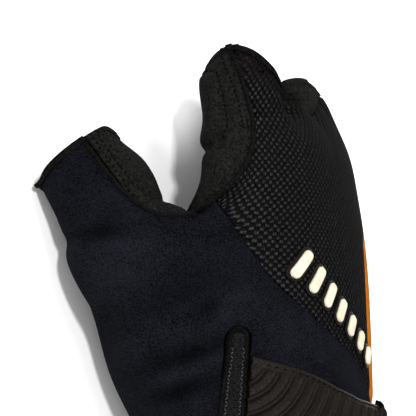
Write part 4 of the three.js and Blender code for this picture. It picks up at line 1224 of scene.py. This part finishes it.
# %% Build a material round its shader
def start_material(name, roughness, bump_distance, shine=0.02):
    material = bpy.data.materials.new(name)
    material.use_nodes = True
    tree = material.node_tree
    shader = tree.nodes["Principled BSDF"]
    shader.inputs["Roughness"].default_value = roughness
    shader.inputs["Specular IOR Level"].default_value = shine
    bump_node = tree.nodes.new("ShaderNodeBump")
    bump_node.inputs["Distance"].default_value = bump_distance
    tree.links.new(bump_node.outputs["Normal"], shader.inputs["Normal"])
    places = tree.nodes.new("ShaderNodeTexCoord").outputs
    return material, tree, shader, bump_node, places


def use(tree, group, vector, **numbers):
    node = tree.nodes.new("ShaderNodeGroup")
    node.node_tree = group
    tree.links.new(vector, node.inputs["Vector"])
    for label, value in numbers.items():
        join(tree, node.inputs[label], value)
    return node.outputs


def blend_colours(tree, factor, dark, light):
    node = tree.nodes.new("ShaderNodeMix")
    node.data_type = "RGBA"
    join(tree, node.inputs[0], factor)
    for socket, colour in ((node.inputs[6], dark), (node.inputs[7], light)):
        join(tree, socket, colour if isinstance(colour, bpy.types.NodeSocket) else (*colour, 1))
    return node.outputs[2]


# fuzzy is the fuzz's share of the colour, beside the patches. With the fold flag set, shade is
# painted into the folds and light onto their ridges
def napped(name, dark, light, bump_distance, scale, patches, fuzzy=0.5, fold_shaded=False,
           roughness=0.95, shine=0.02):
    material, tree, shader, bump_node, places = start_material(
        name, roughness, bump_distance, shine)
    effect = use(tree, nap, places["Object"], Scale=scale, Patches=patches)
    share = maths(tree, "ADD", maths(tree, "MULTIPLY", effect["Fuzz"], fuzzy),
                  maths(tree, "MULTIPLY", effect["Patch"], 1 - fuzzy))
    if fold_shaded:
        # Painted shade in the folds and painted light on their ridges, from the stored fold heights
        fold_shade = tree.nodes.new("ShaderNodeAttribute")
        fold_shade.attribute_name = "fold_shade"
        lit = ramp(tree, fold_shade.outputs["Fac"], -1.6, 1.2, 0.3, 1.3)
        share = maths(tree, "MULTIPLY", share, lit)
    tree.links.new(blend_colours(tree, share, dark, light), shader.inputs["Base Color"])
    tree.links.new(effect["Height"], bump_node.inputs["Height"])
    return material


suede_material = napped("suede", (0.0022, 0.0024, 0.0021), (0.0138, 0.0142, 0.0130), 0.0012,
                        scale=1200.0, patches=110.0, fuzzy=0.8)
navy_material = napped("brushed_navy", (0.0003, 0.0004, 0.0008), (0.0112, 0.0118, 0.0160), 0.0014,
                       scale=2000.0, patches=80.0, fuzzy=0.7, fold_shaded=True)
orange_material = napped("orange_stretch", (0.22, 0.06, 0.004), (0.40, 0.125, 0.008), 0.0003,
                         scale=2500.0, patches=300.0)
trim_material = napped("frayed_trim", (0.0010, 0.0010, 0.0010), (0.0085, 0.0085, 0.0085), 0.0012,
                       scale=1500.0, patches=400.0, fuzzy=0.7)
lining_material = napped("lining", (0.0020, 0.0020, 0.0021), (0.0070, 0.0070, 0.0072), 0.0005,
                         scale=1500.0, patches=200.0)
print("napped cloths ready")

# %% [markdown]
# ## The knit's own material
# The back is an open knit of dark yarn, with pale flecks where the loops stand up. The lattice
# follows the panel's UV map. The flecks fade where the cloth turns edge-on, which is painted shade
# for the light falling off at the sides, and the last centimetre before each hem is knitted plain
# and a little warmer, which the hem attribute tells.

# %% Knitted mesh
knit_material, tree, shader, bump_node, places = start_material("knitted_mesh", 0.8, 0.0007)
effect = use(tree, knit, places["UV"], Wobble=places["Object"])
fleck = use(tree, grain, places["Object"], Scale=1400.0)
share = maths(tree, "ADD", maths(tree, "MULTIPLY", effect["Tuft"], 0.85), 0.1)
share = maths(tree, "MULTIPLY", share, ramp(tree, fleck["Height"], 0.36, 0.62, 0.25, 1))
# Painted shade: the flecks darken where the cloth turns away from the camera, as the light falls
# off
edge_on_shade = tree.nodes.new("ShaderNodeLayerWeight")
edge_on_shade.inputs["Blend"].default_value = 0.5
share = maths(tree, "MULTIPLY", share, ramp(tree, edge_on_shade.outputs["Facing"], 0.1, 0.8, 1, 0.2))
to_hem = tree.nodes.new("ShaderNodeAttribute")
to_hem.attribute_name = "hem"
plain = ramp(tree, to_hem.outputs["Fac"], 1.5, 10, 1, 0)
kept = maths(tree, "SUBTRACT", 1.0, maths(tree, "MULTIPLY", plain, 0.75))
share = maths(tree, "MULTIPLY", share, kept)
base = blend_colours(tree, plain, (0.0004, 0.0004, 0.0005), (0.0050, 0.0036, 0.0036))
tree.links.new(blend_colours(tree, share, base, (0.040, 0.040, 0.042)), shader.inputs["Base Color"])
tree.links.new(effect["Height"], bump_node.inputs["Height"])
print("knit material", len(tree.nodes), "nodes")


# %% Rubbers, elastic and thread
def grained(name, dark, light, roughness, bump_distance, shine, scale):
    material, tree, shader, bump_node, places = start_material(
        name, roughness, bump_distance, shine)
    effect = use(tree, grain, places["Object"], Scale=scale)
    tree.links.new(blend_colours(tree, effect["Speck"], dark, light), shader.inputs["Base Color"])
    tree.links.new(effect["Height"], bump_node.inputs["Height"])
    return material


rubber_material = grained("dark_rubber", (0.0016, 0.0009, 0.0005), (0.0072, 0.0050, 0.0034),
                          0.36, 0.0002, 0.06, 2400.0)
elastic_material = grained("ribbed_elastic", (0.002, 0.002, 0.0022), (0.010, 0.010, 0.011),
                           0.85, 0.0003, 0.05, 1800.0)
dark_thread = grained("dark_thread", (0.0008, 0.0008, 0.0008), (0.004, 0.004, 0.004),
                      0.8, 0.0001, 0.0, 2500.0)
grey_thread = grained("grey_thread", (0.02, 0.02, 0.019), (0.06, 0.058, 0.055),
                      0.8, 0.0001, 0.0, 2500.0)
cream_material = napped("cream_rubber", (0.47, 0.42, 0.31), (0.60, 0.55, 0.43), 0.0001,
                        scale=600.0, patches=150.0, fuzzy=0.0, roughness=0.6, shine=0.2)
print("grained materials ready")

# %% Dress each piece
finishes = [
    (knit_material, [knit_panel]),
    (navy_material, [navy_panel]),
    (orange_material, [side_strip]),
    (suede_material, [suede_panel, pull_tab]),
    (trim_material, [finger_hems, cuff_edge, rolled_seam, slit_tape]),
    (elastic_material, [elastic]),
    (rubber_material, [wrist_tab, *shade_bases]),
    (cream_material, bars),
    (dark_thread, [suede_stitches, tab_stitches]),
    (grey_thread, [elastic_stitches]),
]
for material, pieces in finishes:
    for piece in pieces:
        piece.data.materials.append(material)
panels = (knit_panel, navy_panel, side_strip, suede_panel, finger_hems, cuff_edge, rolled_seam)
for piece in panels:
    piece.data.materials.append(lining_material)
print("materials", len(bpy.data.materials))
